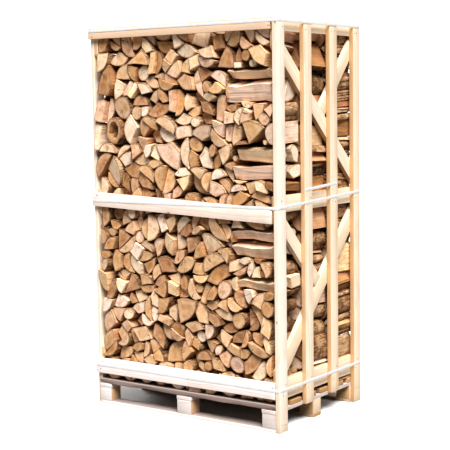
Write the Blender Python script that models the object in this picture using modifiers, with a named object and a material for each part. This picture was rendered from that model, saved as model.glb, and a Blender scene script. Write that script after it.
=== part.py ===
"""Stack of split firewood logs in a slatted crate on a nine-block pallet.

Metres, +Z up. X runs along the front, Y into the depth (the log ends face -Y),
and the origin is at the bottom centre of the crate.
"""

import math
import random

import bmesh
import bpy
import numpy as np
from mathutils import Matrix, Vector

# Driving sizes of the crate
WIDTH = 1.200
DEPTH = 0.810
HEIGHT = 2.035
GAP = 0.0003

# Boards
SLAT_THICK = 0.024
SLAT_WIDTH = 0.074
RAIL_THICK = 0.020
RUNNER_HEIGHT = 0.018
BLOCK_HEIGHT = 0.074
STRINGER_HEIGHT = 0.020
DECK_THICK = 0.024
DECK_WIDTH = 0.100
DECK_BOARDS = 6

# Straps
STRAP_WIDTH = 0.016
STRAP_THICK = 0.001
STRAP_CORNER = 0.0008

# Heights of the rails, as (lowest, highest)
SIDE_RAILS = {"top": (1.970, HEIGHT), "middle": (1.089, 1.173), "bottom": (0.157, 0.260)}
FRONT_RAILS = {"top": (1.978, HEIGHT), "middle": (1.061, 1.137), "bottom": (0.168, 0.251)}
MIDDLE_RAIL_SLOPE = math.radians(2.3)

# Lines worked out from the sizes above
FRONT = -DEPTH / 2
BACK = DEPTH / 2
SLAT_INNER = WIDTH / 2 - SLAT_THICK
RAIL_OUTER = SLAT_INNER - GAP
RAIL_INNER = RAIL_OUTER - SLAT_THICK + GAP
PANEL_FRONT = FRONT + RAIL_THICK + GAP
PANEL_BACK = BACK - RAIL_THICK - GAP
STRINGER_BOTTOM = RUNNER_HEIGHT + BLOCK_HEIGHT
DECK_TOP = STRINGER_BOTTOM + STRINGER_HEIGHT + DECK_THICK

# The stack: the space for it, and its three rows of logs from front to back
STACK_SIDE = RAIL_INNER - 0.004
STACK_TOP = 2.022
ROW_LENGTH = (PANEL_BACK - PANEL_FRONT) / 3
TRUNK_COLUMNS = 10
TRUNK_ROWS = 16
TRUNK_SIZES = (0.020, 0.035, 0.050, 0.060, 0.066)
WHOLE_TRUNK_AREA = 0.0070
HALF_LOG_AREA = 0.0066
SHORTEST_EDGE = 0.005
LEAST_STEP = 0.0012
DEEPEST_END = 0.024

WOOD_COLOURS = {
    "slat": (0.80, 0.66, 0.47),
    "rail": (0.86, 0.76, 0.66),
    "pallet": (0.74, 0.62, 0.46),
    "log": (0.68, 0.50, 0.32),
}


def clear_scene():
    for obj in list(bpy.data.objects):
        bpy.data.objects.remove(obj, do_unlink=True)


def new_collection(name):
    collection = bpy.data.collections.new(name)
    bpy.context.scene.collection.children.link(collection)
    return collection


def new_material(name, colour, roughness):
    material = bpy.data.materials.new(name)
    material.use_nodes = True
    shader = material.node_tree.nodes["Principled BSDF"]
    shader.inputs["Base Color"].default_value = (*colour, 1.0)
    shader.inputs["Roughness"].default_value = roughness
    shader.inputs["Metallic"].default_value = 0.0
    return material


def add_object(name, bm, material, collection, location=(0.0, 0.0, 0.0)):
    """Turn a bmesh into a named object of the crate."""
    bmesh.ops.recalc_face_normals(bm, faces=bm.faces)
    mesh = bpy.data.meshes.new(name)
    bm.to_mesh(mesh)
    bm.free()
    mesh.materials.append(material)
    obj = bpy.data.objects.new(name, mesh)
    obj.location = location
    collection.objects.link(obj)
    return obj


def board(name, low, high, material, collection):
    """A straight sawn board or block between two corners."""
    low, high = Vector(low), Vector(high)
    size = high - low
    bm = bmesh.new()
    bmesh.ops.create_cube(bm, size=1.0, matrix=Matrix.Diagonal((*size, 1.0)))
    return add_object(name, bm, material, collection, (low + high) / 2)


def trim(bm, point, outward):
    """Saw a board off along a plane and close the cut."""
    geometry = bm.verts[:] + bm.edges[:] + bm.faces[:]
    cut = bmesh.ops.bisect_plane(
        bm, geom=geometry, plane_co=point, plane_no=outward, clear_outer=True
    )
    edges = [item for item in cut["geom_cut"] if isinstance(item, bmesh.types.BMEdge)]
    if edges:
        bmesh.ops.contextual_create(bm, geom=edges)


# Pallet


def pallet(material, collection):
    """Runners, blocks, stringers and deck, from the floor up."""
    half = SLAT_INNER - GAP
    columns = {"left": (-half, -0.498), "middle": (-0.042, 0.048), "right": (0.494, half)}
    lines = {
        "front": (FRONT + 0.002, FRONT + 0.080),
        "middle": (FRONT + 0.352, FRONT + 0.430),
        "back": (BACK - 0.080, BACK - 0.002),
    }
    for line, (near, far) in lines.items():
        board(
            f"pallet_runner_{line}",
            (-half, near + 0.001, 0.0),
            (half, far, RUNNER_HEIGHT - GAP),
            material,
            collection,
        )
        for column, (low, high) in columns.items():
            board(
                f"pallet_block_{line}_{column}",
                (low, near, RUNNER_HEIGHT),
                (high, far, STRINGER_BOTTOM - GAP),
                material,
                collection,
            )
    for column, (low, high) in columns.items():
        board(
            f"pallet_stringer_{column}",
            (max(low - 0.003, -half), FRONT + 0.001, STRINGER_BOTTOM),
            (min(high + 0.003, half), BACK - 0.001, STRINGER_BOTTOM + STRINGER_HEIGHT - GAP),
            material,
            collection,
        )
    pitch = (DEPTH - DECK_WIDTH) / (DECK_BOARDS - 1)
    for number in range(DECK_BOARDS):
        near = FRONT + number * pitch
        board(
            f"pallet_deck_{number + 1}",
            (-half, near, DECK_TOP - DECK_THICK),
            (half, near + DECK_WIDTH, DECK_TOP),
            material,
            collection,
        )


# Slatted side panels


def slat_spans(side):
    """Where each slat of a side panel starts and ends along Y, and how low it reaches."""
    first = FRONT if side > 0 else PANEL_FRONT
    last = BACK if side > 0 else PANEL_BACK
    short_bottom = STRINGER_BOTTOM + 0.006
    return [
        (first, first + SLAT_WIDTH, 0.0, HEIGHT),
        (FRONT + 0.249, FRONT + 0.249 + SLAT_WIDTH, short_bottom, HEIGHT - 0.002),
        (FRONT + 0.500, FRONT + 0.500 + SLAT_WIDTH, short_bottom + 0.005, HEIGHT - 0.001),
        (last - SLAT_WIDTH + 0.006, last, 0.0, HEIGHT - 0.003),
    ]


def brace(name, side, centre, slope, width, bay, material, collection, stop=None):
    """A board across one bay of a side panel, sawn to fit between the rails.

    centre is (y, z) on its middle line and slope is its fall or rise, dz over dy.
    stop is the (point, outward) plane of the longer brace that a short one ends on.
    """
    angle = math.atan(slope)
    thick = RAIL_OUTER - RAIL_INNER
    middle = Vector((side * (RAIL_OUTER + RAIL_INNER) / 2, centre[0], centre[1]))
    bm = bmesh.new()
    place = (
        Matrix.Translation(middle)
        @ Matrix.Rotation(angle, 4, "X")
        @ Matrix.Diagonal((thick, 3.0, width, 1.0))
    )
    bmesh.ops.create_cube(bm, size=1.0, matrix=place)
    low, high = bay
    trim(bm, (0, PANEL_FRONT, 0), (0, -1, 0))
    trim(bm, (0, PANEL_BACK, 0), (0, 1, 0))
    trim(bm, (0, 0, low + GAP), (0, 0, -1))
    trim(bm, (0, 0, high - GAP), (0, 0, 1))
    if stop:
        trim(bm, *stop)
    return add_object(name, bm, material, collection)


def brace_edge(side, centre, slope, width, above):
    """The plane of a long brace's upper or lower edge, for a short brace to end on."""
    angle = math.atan(slope)
    normal = Vector((0, -math.sin(angle), math.cos(angle)))
    away = 1 if above else -1
    point = Vector((0, *centre)) + normal * away * (width / 2 + GAP)
    return point, -normal * away


def side_panel(word, side, material, collection):
    """Four upright slats outside, three rails and four braces inside."""
    for number, (near, far, low, high) in enumerate(slat_spans(side), 1):
        inner, outer = side * SLAT_INNER, side * WIDTH / 2
        board(
            f"slat_{word}_{number}",
            (min(inner, outer), near, low),
            (max(inner, outer), far, high),
            material,
            collection,
        )
    inner, outer = side * RAIL_INNER, side * RAIL_OUTER
    for place, (low, high) in SIDE_RAILS.items():
        board(
            f"rail_{word}_{place}",
            (min(inner, outer), PANEL_FRONT, low),
            (max(inner, outer), PANEL_BACK, high),
            material,
            collection,
        )
    upper_bay = (SIDE_RAILS["middle"][1], SIDE_RAILS["top"][0])
    lower_bay = (SIDE_RAILS["bottom"][1], SIDE_RAILS["middle"][0])
    # Centre line point, slope and width of the long brace in each bay
    falling = ((FRONT + 0.364, 1.621), -0.927, 0.074)
    rising = ((FRONT + 0.500, 0.742), 1.02, 0.080)
    brace(f"brace_{word}_upper_long", side, *falling, upper_bay, material, collection)
    brace(f"brace_{word}_lower_long", side, *rising, lower_bay, material, collection)
    brace(
        f"brace_{word}_upper_short",
        side,
        (FRONT + 0.620, 1.755),
        1.115,
        0.066,
        upper_bay,
        material,
        collection,
        brace_edge(side, *falling, above=True),
    )
    brace(
        f"brace_{word}_lower_short",
        side,
        (FRONT + 0.119, 1.000),
        -1.01,
        0.068,
        lower_bay,
        material,
        collection,
        brace_edge(side, *rising, above=True),
    )


# Rails across the front and the back


def end_rails(word, near, material, collection):
    """Three rails between the left panel's outer face and the right corner slat."""
    left = -WIDTH / 2
    rights = {"top": 0.566, "middle": 0.562, "bottom": 0.573}
    for place, (low, high) in FRONT_RAILS.items():
        rail = board(
            f"rail_{word}_{place}",
            (left, near, low),
            (rights[place], near + RAIL_THICK, high),
            material,
            collection,
        )
        if place == "middle":
            # It is nailed on with its right end lower than its left.
            tilt = MIDDLE_RAIL_SLOPE if word == "front" else -MIDDLE_RAIL_SLOPE / 2
            rail.rotation_euler.y = tilt
            rail.location.x += 0.002
            rail.location.z += 0.001


# Straps


def strap_loop(name, heights, material, collection):
    """A band round the whole crate. heights gives its middle at the four corners."""
    half_x = WIDTH / 2 + GAP
    half_y = DEPTH / 2 + GAP
    corners = [(1, -1), (1, 1), (-1, 1), (-1, -1)]
    path = []
    for number, (cx, cy) in enumerate(corners):
        start = math.atan2(cy, cx) - math.pi / 4
        for step in range(3):
            angle = start + step * math.pi / 4
            path.append(
                (
                    cx * (half_x - STRAP_CORNER) + STRAP_CORNER * math.cos(angle),
                    cy * (half_y - STRAP_CORNER) + STRAP_CORNER * math.sin(angle),
                    heights[number],
                )
            )
    band(name, path, True, material, collection)


def band(name, path, closed, material, collection):
    """An upright ribbon along a path, given its thickness outwards by Solidify."""
    bm = bmesh.new()
    low = [bm.verts.new((x, y, z - STRAP_WIDTH / 2)) for x, y, z in path]
    high = [bm.verts.new((x, y, z + STRAP_WIDTH / 2)) for x, y, z in path]
    count = len(path)
    for here in range(count if closed else count - 1):
        after = (here + 1) % count
        bm.faces.new((low[here], low[after], high[after], high[here]))
    mesh = bpy.data.meshes.new(name)
    bm.to_mesh(mesh)
    bm.free()
    mesh.materials.append(material)
    obj = bpy.data.objects.new(name, mesh)
    collection.objects.link(obj)
    thickness = obj.modifiers.new("thickness", "SOLIDIFY")
    thickness.thickness = STRAP_THICK
    thickness.offset = 1.0
    return obj


def straps(material, collection):
    strap_loop("strap_top", (2.021,) * 4, material, collection)
    strap_loop("strap_middle", (1.116, 1.148, 1.148, 1.116), material, collection)
    strap_loop("strap_bottom", (0.213,) * 4, material, collection)
    x = WIDTH / 2 + GAP
    tail = [
        (x, FRONT + 0.255, 1.190),
        (x, FRONT + 0.320, 1.193),
        (x, FRONT + 0.502, 1.203),
        (x, FRONT + 0.568, 1.206),
    ]
    band("strap_tail", tail, False, material, collection)


# Stack of logs: one end face is a jigsaw of sawn log ends, each at its own depth


def clipped(polygon, normal, limit):
    """The part of a convex polygon where its dot product with normal is under limit."""
    kept = []
    for here, after in zip(polygon, polygon[1:] + polygon[:1]):
        a = here[0] * normal[0] + here[1] * normal[1] - limit
        b = after[0] * normal[0] + after[1] * normal[1] - limit
        if a <= 0:
            kept.append(here)
        if a * b < 0:
            t = a / (a - b)
            kept.append((here[0] + t * (after[0] - here[0]), here[1] + t * (after[1] - here[1])))
    return kept


def area_and_centre(polygon):
    total = x = z = 0.0
    for a, b in zip(polygon, polygon[1:] + polygon[:1]):
        cross = a[0] * b[1] - b[0] * a[1]
        total += cross / 2
        x += (a[0] + b[0]) * cross
        z += (a[1] + b[1]) * cross
    return total, (x / (6 * total), z / (6 * total))


def trunk_shape(index, trunks):
    """The room one trunk has between its neighbours, where wide trunks push narrow ones."""
    x, z, size = trunks[index]
    low = DECK_TOP + GAP
    shape = [(-STACK_SIDE, low), (STACK_SIDE, low), (STACK_SIDE, STACK_TOP), (-STACK_SIDE, STACK_TOP)]
    for other, (ox, oz, other_size) in enumerate(trunks):
        dx, dz = ox - x, oz - z
        if other == index or dx * dx + dz * dz > 0.2:
            continue
        limit = (ox * ox + oz * oz - other_size**2 - x * x - z * z + size**2) / 2
        shape = clipped(shape, (dx, dz), limit)
    return shape


def trunk_shapes(chance):
    """Round-wood outlines that fill the crate's front, evened out from a jittered grid."""
    low = DECK_TOP + GAP
    across = 2 * STACK_SIDE / TRUNK_COLUMNS
    up = (STACK_TOP - low) / TRUNK_ROWS
    trunks = []
    for row in range(TRUNK_ROWS):
        shift = 0.5 * (row % 2)
        for column in range(TRUNK_COLUMNS + row % 2):
            x = -STACK_SIDE + across * (column + 0.5 - shift + chance.uniform(-0.3, 0.3))
            z = low + up * (row + 0.5 + chance.uniform(-0.3, 0.3))
            trunks.append((x, z, chance.choice(TRUNK_SIZES)))
    for _ in range(3):
        moved = []
        for index, (x, z, size) in enumerate(trunks):
            shape = trunk_shape(index, trunks)
            if len(shape) > 2:
                _, centre = area_and_centre(shape)
                x, z = 0.4 * x + 0.6 * centre[0], 0.4 * z + 0.6 * centre[1]
            moved.append((x, z, size))
        trunks = moved
    shapes = (trunk_shape(index, trunks) for index in range(len(trunks)))
    return [shape for shape in shapes if len(shape) > 2]


def shared_corners(shapes):
    """One list of corner points, and every outline as indices into it."""
    corners, faces = [], []
    for shape in shapes:
        face = []
        for point in shape:
            if corners:
                apart = np.abs(np.array(corners) - point).max(axis=1)
                nearest = int(apart.argmin())
            if not corners or apart[nearest] > 2e-5:
                nearest = len(corners)
                corners.append(point)
            if nearest not in face:
                face.append(nearest)
        faces.append(face)
    return corners, faces


def split_face(corners, faces, index, angle, shift):
    """Split one log along a line near its middle. Returns the new half's index, or None."""
    face = faces[index]
    _, centre = area_and_centre([corners[c] for c in face])
    normal = (math.cos(angle), math.sin(angle))
    limit = centre[0] * normal[0] + centre[1] * normal[1] + shift
    sides = [corners[c][0] * normal[0] + corners[c][1] * normal[1] - limit for c in face]
    crossed = [k for k in range(len(face)) if (sides[k] < 0) != (sides[k - 1] < 0)]
    if len(crossed) != 2:
        return None
    ends = []
    for k in crossed:
        a, b = corners[face[k - 1]], corners[face[k]]
        length = math.dist(a, b)
        if length < 4 * SHORTEST_EDGE:
            return None
        margin = 1.6 * SHORTEST_EDGE / length
        t = min(1 - margin, max(margin, sides[k - 1] / (sides[k - 1] - sides[k])))
        ends.append((face[k - 1], face[k], (a[0] + t * (b[0] - a[0]), a[1] + t * (b[1] - a[1]))))
    added = []
    for start, stop, point in ends:
        new = len(corners)
        corners.append(point)
        added.append(new)
        for other in faces:
            for k in range(len(other)):
                if {other[k - 1], other[k]} == {start, stop}:
                    other.insert(k, new)
                    break
    face = faces[index]
    first, second = sorted(face.index(new) for new in added)
    faces[index] = face[first : second + 1]
    faces.append(face[second:] + face[: first + 1])
    return len(faces) - 1


def split_logs(corners, faces, chance):
    """Split most trunks in two and some halves again, as an axe does."""
    for index in range(len(faces)):
        area, _ = area_and_centre([corners[c] for c in faces[index]])
        if area < WHOLE_TRUNK_AREA or chance.random() > 0.86:
            continue
        angle = chance.uniform(0, math.pi)
        half = split_face(corners, faces, index, angle, chance.uniform(-0.012, 0.012))
        if half is None:
            half = split_face(corners, faces, index, angle + 1.2, 0.0)
        if half is None:
            continue
        for piece in (index, half):
            area, _ = area_and_centre([corners[c] for c in faces[piece]])
            if area > HALF_LOG_AREA and chance.random() < 0.5:
                across = angle + math.pi / 2 + chance.uniform(-0.5, 0.5)
                split_face(corners, faces, piece, across, chance.uniform(-0.008, 0.008))


def edge_users(faces):
    users = {}
    for number, face in enumerate(faces):
        for k in range(len(face)):
            users.setdefault(frozenset((face[k - 1], face[k])), []).append(number)
    return users


def lengthen_short_edges(corners, faces):
    """Push the ends of a very short edge apart, so that no sliver is left."""
    users = edge_users(faces)
    rim = {corner for edge, found in users.items() if len(found) == 1 for corner in edge}
    for edge in users:
        a, b = sorted(edge)
        length = math.dist(corners[a], corners[b])
        if length > SHORTEST_EDGE or a in rim or b in rim or length == 0:
            continue
        grow = (SHORTEST_EDGE / length - 1) / 2
        dx, dz = (corners[b][0] - corners[a][0]) * grow, (corners[b][1] - corners[a][1]) * grow
        corners[a] = (corners[a][0] - dx, corners[a][1] - dz)
        corners[b] = (corners[b][0] + dx, corners[b][1] + dz)


def bulge_rim(corners, faces, chance):
    """Give each outer log a crown on its outer side, with a notch where two logs meet."""
    middle = ((DECK_TOP + GAP + STACK_TOP) / 2, (STACK_TOP - DECK_TOP) / 2)
    rim_edges = [edge for edge, found in edge_users(faces).items() if len(found) == 1]
    rim_edges.sort(key=sorted)
    for edge in rim_edges:
        a, b = sorted(edge)
        crown = len(corners)
        t = chance.uniform(0.4, 0.6)
        corners.append(
            tuple(corners[a][axis] * (1 - t) + corners[b][axis] * t for axis in (0, 1))
        )
        for face in faces:
            for k in range(len(face)):
                if {face[k - 1], face[k]} == {a, b}:
                    face.insert(k, crown)
                    break
    for corner in sorted({c for edge in rim_edges for c in edge}):
        x, z = corners[corner]
        notch = chance.uniform(0.005, 0.012)
        if abs(abs(x) - STACK_SIDE) < 1e-6:
            x -= math.copysign(notch, x)
        if abs(abs(z - middle[0]) - middle[1]) < 1e-3:
            z -= math.copysign(notch, z - middle[0])
        corners[corner] = (x, z)


def log_depths(faces, chance):
    """How far each log end lies behind the front of the row, never level with a neighbour."""
    neighbours = {number: set() for number in range(len(faces))}
    for found in edge_users(faces).values():
        if len(found) == 2:
            neighbours[found[0]].add(found[1])
            neighbours[found[1]].add(found[0])
    depths = {}
    for number in range(len(faces)):
        taken = [depths[other] for other in neighbours[number] if other in depths]
        for _ in range(200):
            depth = 0.001 + (DEEPEST_END - 0.001) * chance.random() ** 1.4
            if all(abs(depth - other) > LEAST_STEP for other in taken):
                break
        depths[number] = depth
    return [depths[number] for number in range(len(faces))]


def log_layout(seed):
    """Corner points (x, z), log outlines and end depths of one stacked row."""
    chance = random.Random(seed)
    corners, faces = shared_corners(trunk_shapes(chance))
    split_logs(corners, faces, chance)
    lengthen_short_edges(corners, faces)
    bulge_rim(corners, faces, chance)
    return corners, faces, log_depths(faces, chance)


def add_jigsaw_row(name, layout, flat_y, outward, material, collection):
    """A row of logs: level at flat_y, and each log's other end at its own depth.

    outward is -1 where the uneven ends face the front, and +1 where they face the back.
    """
    corners, faces, depths = layout
    end_y = PANEL_FRONT if outward < 0 else PANEL_BACK
    ends = [end_y - outward * depth for depth in depths]
    levels = {}
    for face, y in zip(faces, ends):
        for corner in face:
            levels.setdefault(corner, {flat_y}).add(y)
    bm = bmesh.new()
    made = {}

    def vertex(corner, y):
        if (corner, y) not in made:
            made[corner, y] = bm.verts.new((corners[corner][0], y, corners[corner][1]))
        return made[corner, y]

    def wall(a, b, near, far):
        """A wall along one edge, with a vertex at each level that its two sides reach."""
        up = [vertex(a, y) for y in sorted(levels[a]) if near <= y <= far]
        down = [vertex(b, y) for y in sorted(levels[b], reverse=True) if near <= y <= far]
        bm.faces.new(up + down)

    for face, y in zip(faces, ends):
        bm.faces.new([vertex(corner, y) for corner in face])
    for edge, found in sorted(edge_users(faces).items(), key=lambda item: sorted(item[0])):
        a, b = sorted(edge)
        reached = sorted([ends[found[0]], ends[found[1]] if len(found) == 2 else flat_y])
        wall(a, b, *reached)
    bm.faces.new([vertex(corner, flat_y) for corner in rim_loop(faces)])
    return add_object(name, bm, material, collection)


def rim_loop(faces):
    """The corners round the whole stack, in order."""
    links = {}
    for edge, found in edge_users(faces).items():
        if len(found) == 1:
            a, b = edge
            links.setdefault(a, []).append(b)
            links.setdefault(b, []).append(a)
    start = min(links)
    loop, before = [start], None
    while True:
        onward = [corner for corner in sorted(links[loop[-1]]) if corner != before][0]
        before = loop[-1]
        if onward == start:
            return loop
        loop.append(onward)


def add_plain_row(name, layout, near, far, material, collection):
    """The middle row, whose ends no one sees: the front row's outline turned left to right."""
    corners, faces, _ = layout
    bm = bmesh.new()
    rims = [
        [bm.verts.new((-corners[c][0], y, corners[c][1])) for c in rim_loop(faces)]
        for y in (near, far)
    ]
    for rim in rims:
        bm.faces.new(rim)
    for k in range(len(rims[0])):
        bm.faces.new((rims[0][k - 1], rims[0][k], rims[1][k], rims[1][k - 1]))
    return add_object(name, bm, material, collection)


def log_stack(material, collection):
    front, back = log_layout(seed=3), log_layout(seed=11)
    first_join = PANEL_FRONT + ROW_LENGTH
    second_join = PANEL_BACK - ROW_LENGTH
    add_jigsaw_row("log_row_front", front, first_join, -1, material, collection)
    add_plain_row(
        "log_row_middle", front, first_join + GAP, second_join - GAP, material, collection
    )
    add_jigsaw_row("log_row_back", back, second_join, 1, material, collection)


def main():
    clear_scene()
    crate = new_collection("firewood_crate")
    slat_wood = new_material("slat wood", WOOD_COLOURS["slat"], 0.75)
    rail_wood = new_material("rail wood", WOOD_COLOURS["rail"], 0.72)
    pallet_wood = new_material("pallet wood", WOOD_COLOURS["pallet"], 0.8)
    log_wood = new_material("log wood", WOOD_COLOURS["log"], 0.85)
    strap_plastic = new_material("strap plastic", (0.9, 0.9, 0.92), 0.4)
    pallet(pallet_wood, crate)
    side_panel("left", -1, slat_wood, crate)
    side_panel("right", 1, slat_wood, crate)
    end_rails("front", FRONT, rail_wood, crate)
    end_rails("back", BACK - RAIL_THICK, rail_wood, crate)
    straps(strap_plastic, crate)
    log_stack(log_wood, crate)


main()
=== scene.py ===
import itertools
import math
import random
from types import SimpleNamespace

import bmesh
import bpy
import numpy as np
from mathutils import Matrix, Vector, geometry, noise


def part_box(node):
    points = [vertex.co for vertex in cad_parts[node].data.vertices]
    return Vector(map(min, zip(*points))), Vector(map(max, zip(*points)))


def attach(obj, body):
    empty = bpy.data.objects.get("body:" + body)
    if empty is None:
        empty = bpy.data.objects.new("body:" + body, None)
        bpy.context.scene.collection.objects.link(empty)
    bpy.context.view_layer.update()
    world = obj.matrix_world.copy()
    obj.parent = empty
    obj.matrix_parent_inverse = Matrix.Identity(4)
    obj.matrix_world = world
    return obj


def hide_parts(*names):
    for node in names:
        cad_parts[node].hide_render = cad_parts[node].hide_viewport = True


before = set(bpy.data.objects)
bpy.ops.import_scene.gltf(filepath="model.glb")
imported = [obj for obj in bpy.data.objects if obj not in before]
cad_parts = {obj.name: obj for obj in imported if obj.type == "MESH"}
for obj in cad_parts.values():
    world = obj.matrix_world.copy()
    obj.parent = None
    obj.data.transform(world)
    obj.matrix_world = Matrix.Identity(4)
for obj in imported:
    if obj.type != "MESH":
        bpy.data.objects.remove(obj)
noise.seed_set(7)       # without it every run would bend the logs in a new way
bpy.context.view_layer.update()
print("frame loaded:", len(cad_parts), "nodes")

# The crate of firewood: logs, sawn boards, pallet, straps and nails. Metres, +Z up, the front faces -Y.


# Node trees: arithmetic on a node's output adds Math nodes to its tree

class Wire:
    def __init__(self, socket):
        self.socket, self.tree = socket, socket.id_data

    def __add__(self, other):
        return calc("ADD", self, other)

    def __sub__(self, other):
        return calc("SUBTRACT", self, other)

    def __rsub__(self, other):
        return calc("SUBTRACT", other, self)

    def __mul__(self, other):
        return calc("MULTIPLY", self, other)

    def __truediv__(self, other):
        return calc("DIVIDE", self, other)

    def __rtruediv__(self, other):
        return calc("DIVIDE", other, self)

    def __abs__(self):
        return calc("ABSOLUTE", self)


class Outputs:
    # a node's outputs, by name or number
    def __init__(self, node):
        self.node = node

    def __getitem__(self, key):
        return Wire(self.node.outputs[key])


def feed(socket, value):
    if isinstance(value, Wire):
        socket.id_data.links.new(value.socket, socket)
    else:
        socket.default_value = value


def addNode(kind, fed=None, tree=None, **settings):
    # fed: a value or a wire for each input, by name or number
    fed = fed or {}
    if tree is None:
        tree = next(value.tree for value in fed.values() if isinstance(value, Wire))
    node = tree.nodes.new(kind)
    for name, value in settings.items():
        setattr(node, name, value)
    for name, value in fed.items():
        feed(node.inputs[name], value)
    return Outputs(node)


def calc(operation, *values, clamp=False):
    return addNode("ShaderNodeMath", dict(enumerate(values)), operation=operation, use_clamp=clamp)[0]


def vectorMath(operation, *values):
    return addNode("ShaderNodeVectorMath", dict(enumerate(values)), operation=operation)


def scaled(vector, scale):
    return vectorMath("MULTIPLY", vector, scale)[0]


def separated(vector):
    return addNode("ShaderNodeSeparateXYZ", {0: vector})


def combined(x, y, z=0.0):
    return addNode("ShaderNodeCombineXYZ", {0: x, 1: y, 2: z})[0]


def between(value, low, high, start=0.0, end=1.0):
    # a smooth step: start below low, end above high
    fed = {"Value": value, "From Min": low, "From Max": high, "To Min": start, "To Max": end}
    return addNode("ShaderNodeMapRange", fed, interpolation_type="SMOOTHSTEP")["Result"]


def noiseOf(vector, scale=1.0, detail=2.0, roughness=0.5):
    fed = {"Vector": vector, "Scale": scale, "Detail": detail, "Roughness": roughness}
    return addNode("ShaderNodeTexNoise", fed)["Fac"]


def mixColour(share, first, second, way="MIX"):
    first, second = [value if isinstance(value, Wire) else (*value, 1.0) for value in (first, second)]
    return addNode("ShaderNodeMix", {0: share, 6: first, 7: second}, data_type="RGBA", blend_type=way)[2]


def overlaid(colour, *layers):
    # colours mixed in one after another: (share, colour)
    for share, tint in layers:
        colour = mixColour(share, colour, tint)
    return colour


def colourRamp(value, stops):
    ramp = addNode("ShaderNodeValToRGB", {"Fac": value})
    marks = ramp.node.color_ramp.elements
    while len(marks) < len(stops):
        marks.new(0.5)
    for mark, (place, colour) in zip(marks, stops):
        mark.position = place
        mark.color = (*colour, 1.0)
    return ramp["Color"]


def newGroup(name, kind, inputs, outputs):
    # inputs: each one's default; None is a vector in a shader, and otherwise a geometry, as its outputs are
    plain, made = ("Vector", "Float") if kind == "ShaderNodeTree" else ("Geometry", "Geometry")
    tree = bpy.data.node_groups.new(name, kind)
    for label, value in inputs.items():
        socketKind = "NodeSocket" + {float: "Float", int: "Int"}.get(type(value), plain)
        socket = tree.interface.new_socket(label, in_out="INPUT", socket_type=socketKind)
        if value is not None:
            socket.default_value = value
    for label in outputs:
        tree.interface.new_socket(label, in_out="OUTPUT", socket_type="NodeSocket" + made)
    return tree, Outputs(tree.nodes.new("NodeGroupInput")), tree.nodes.new("NodeGroupOutput").inputs


# Effects shared by the woods. Every wooden mesh carries the attributes grain (along the fibres, and the two
# ways across them from the pith) and woodTone (lightness, warmth, a number of its own). Boards also have
# section, how far a point lies out across and through the board, and logs rimward, 1 on a sawn end's rim.

def effectGroup(name, inputs, *outputs):
    return newGroup(name, "ShaderNodeTree", {"Grain": None, **inputs}, outputs)


def ringsGroup():
    inputs = {"Ring Width": 0.003, "Wander": 0.006}
    tree, given, result = effectGroup("annual rings", inputs, "Rings", "Radius")
    parts = separated(given["Grain"])
    reach = calc("SQRT", parts[1] * parts[1] + parts[2] * parts[2])
    drift = noiseOf(scaled(given["Grain"], (1.6, 14.0, 14.0))) - 0.5
    radius = drift * given["Wander"] + reach
    turns = radius / given["Ring Width"]
    uneven = calc("SINE", turns * 0.83) * 0.9 + turns
    wave = calc("SINE", uneven * math.tau) * 0.5 + 0.5
    feed(result["Rings"], calc("POWER", wave, 2.4))
    feed(result["Radius"], radius)
    return tree


def fibresGroup():
    tree, given, result = effectGroup("wood fibres", {"Fineness": 260.0}, "Fibres", "Streaks")
    across = combined(7.0, given["Fineness"], given["Fineness"])
    feed(result["Fibres"], noiseOf(scaled(given["Grain"], across), detail=3.0, roughness=0.6))
    feed(result["Streaks"], between(noiseOf(scaled(given["Grain"], (3.0, 60.0, 60.0))), 0.42, 0.72))
    return tree


def cracksGroup():
    tree, given, result = effectGroup("drying cracks", {"Own Number": 0.5}, "Cracks")
    parts = separated(given["Grain"])
    flat = combined(0.0, parts[1], parts[2])
    apart = vectorMath("ADD", vectorMath("NORMALIZE", flat)[0], given["Own Number"])[0]
    ridge = abs(noiseOf(apart, 4.5, 1.0) - 0.5)
    thin = ridge * (vectorMath("LENGTH", flat)["Value"] * 9.0 + 0.25)
    some = between(noiseOf(scaled(given["Grain"], (2.0, 24.0, 24.0))), 0.50, 0.60)
    feed(result["Cracks"], between(thin, 0.002, 0.008, 1.0, 0.0) * some)
    return tree


def knotsGroup():
    tree, given, result = effectGroup("knots", {"Share": 0.4}, "Core", "Halo")
    spots = addNode("ShaderNodeTexVoronoi", {"Vector": scaled(given["Grain"], (5.2, 9.5, 9.5)), "Scale": 1.0})
    chosen = calc("LESS_THAN", addNode("ShaderNodeSeparateColor", {0: spots["Color"]})[0], given["Share"])
    feed(result["Core"], between(spots["Distance"], 0.07, 0.11, 1.0, 0.0) * chosen)
    feed(result["Halo"], between(spots["Distance"], 0.08, 0.42, 1.0, 0.0) * chosen)
    return tree


def stainsGroup():
    tree, given, result = effectGroup("stains", {"Patch Size": 0.05, "Amount": 0.5}, "Stain")
    cloud = noiseOf(given["Grain"], 1.0 / given["Patch Size"], 4.0, 0.62)
    feed(result["Stain"], between(cloud, 0.45, 0.75) * given["Amount"])
    return tree


effects = dict(
    rings=ringsGroup(), fibres=fibresGroup(), cracks=cracksGroup(), knots=knotsGroup(), stains=stainsGroup(),
)
print("shared shader groups built")


def effect(name, grain, inputs):
    return addNode("ShaderNodeGroup", {"Grain": grain, **inputs}, node_tree=effects[name])


def newMaterial(name, roughness):
    material = bpy.data.materials.new(name)
    material.use_nodes = True
    finish = material.node_tree.nodes["Principled BSDF"].inputs
    finish["Roughness"].default_value = roughness
    finish["Specular IOR Level"].default_value = 0.3
    return material, finish


def source(owner, kind, **settings):
    # a node that needs no input, in the tree of a material or the world
    return addNode(kind, tree=owner.node_tree, **settings)


def attributeOf(material, name):
    return source(material, "ShaderNodeAttribute", attribute_name=name)


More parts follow.
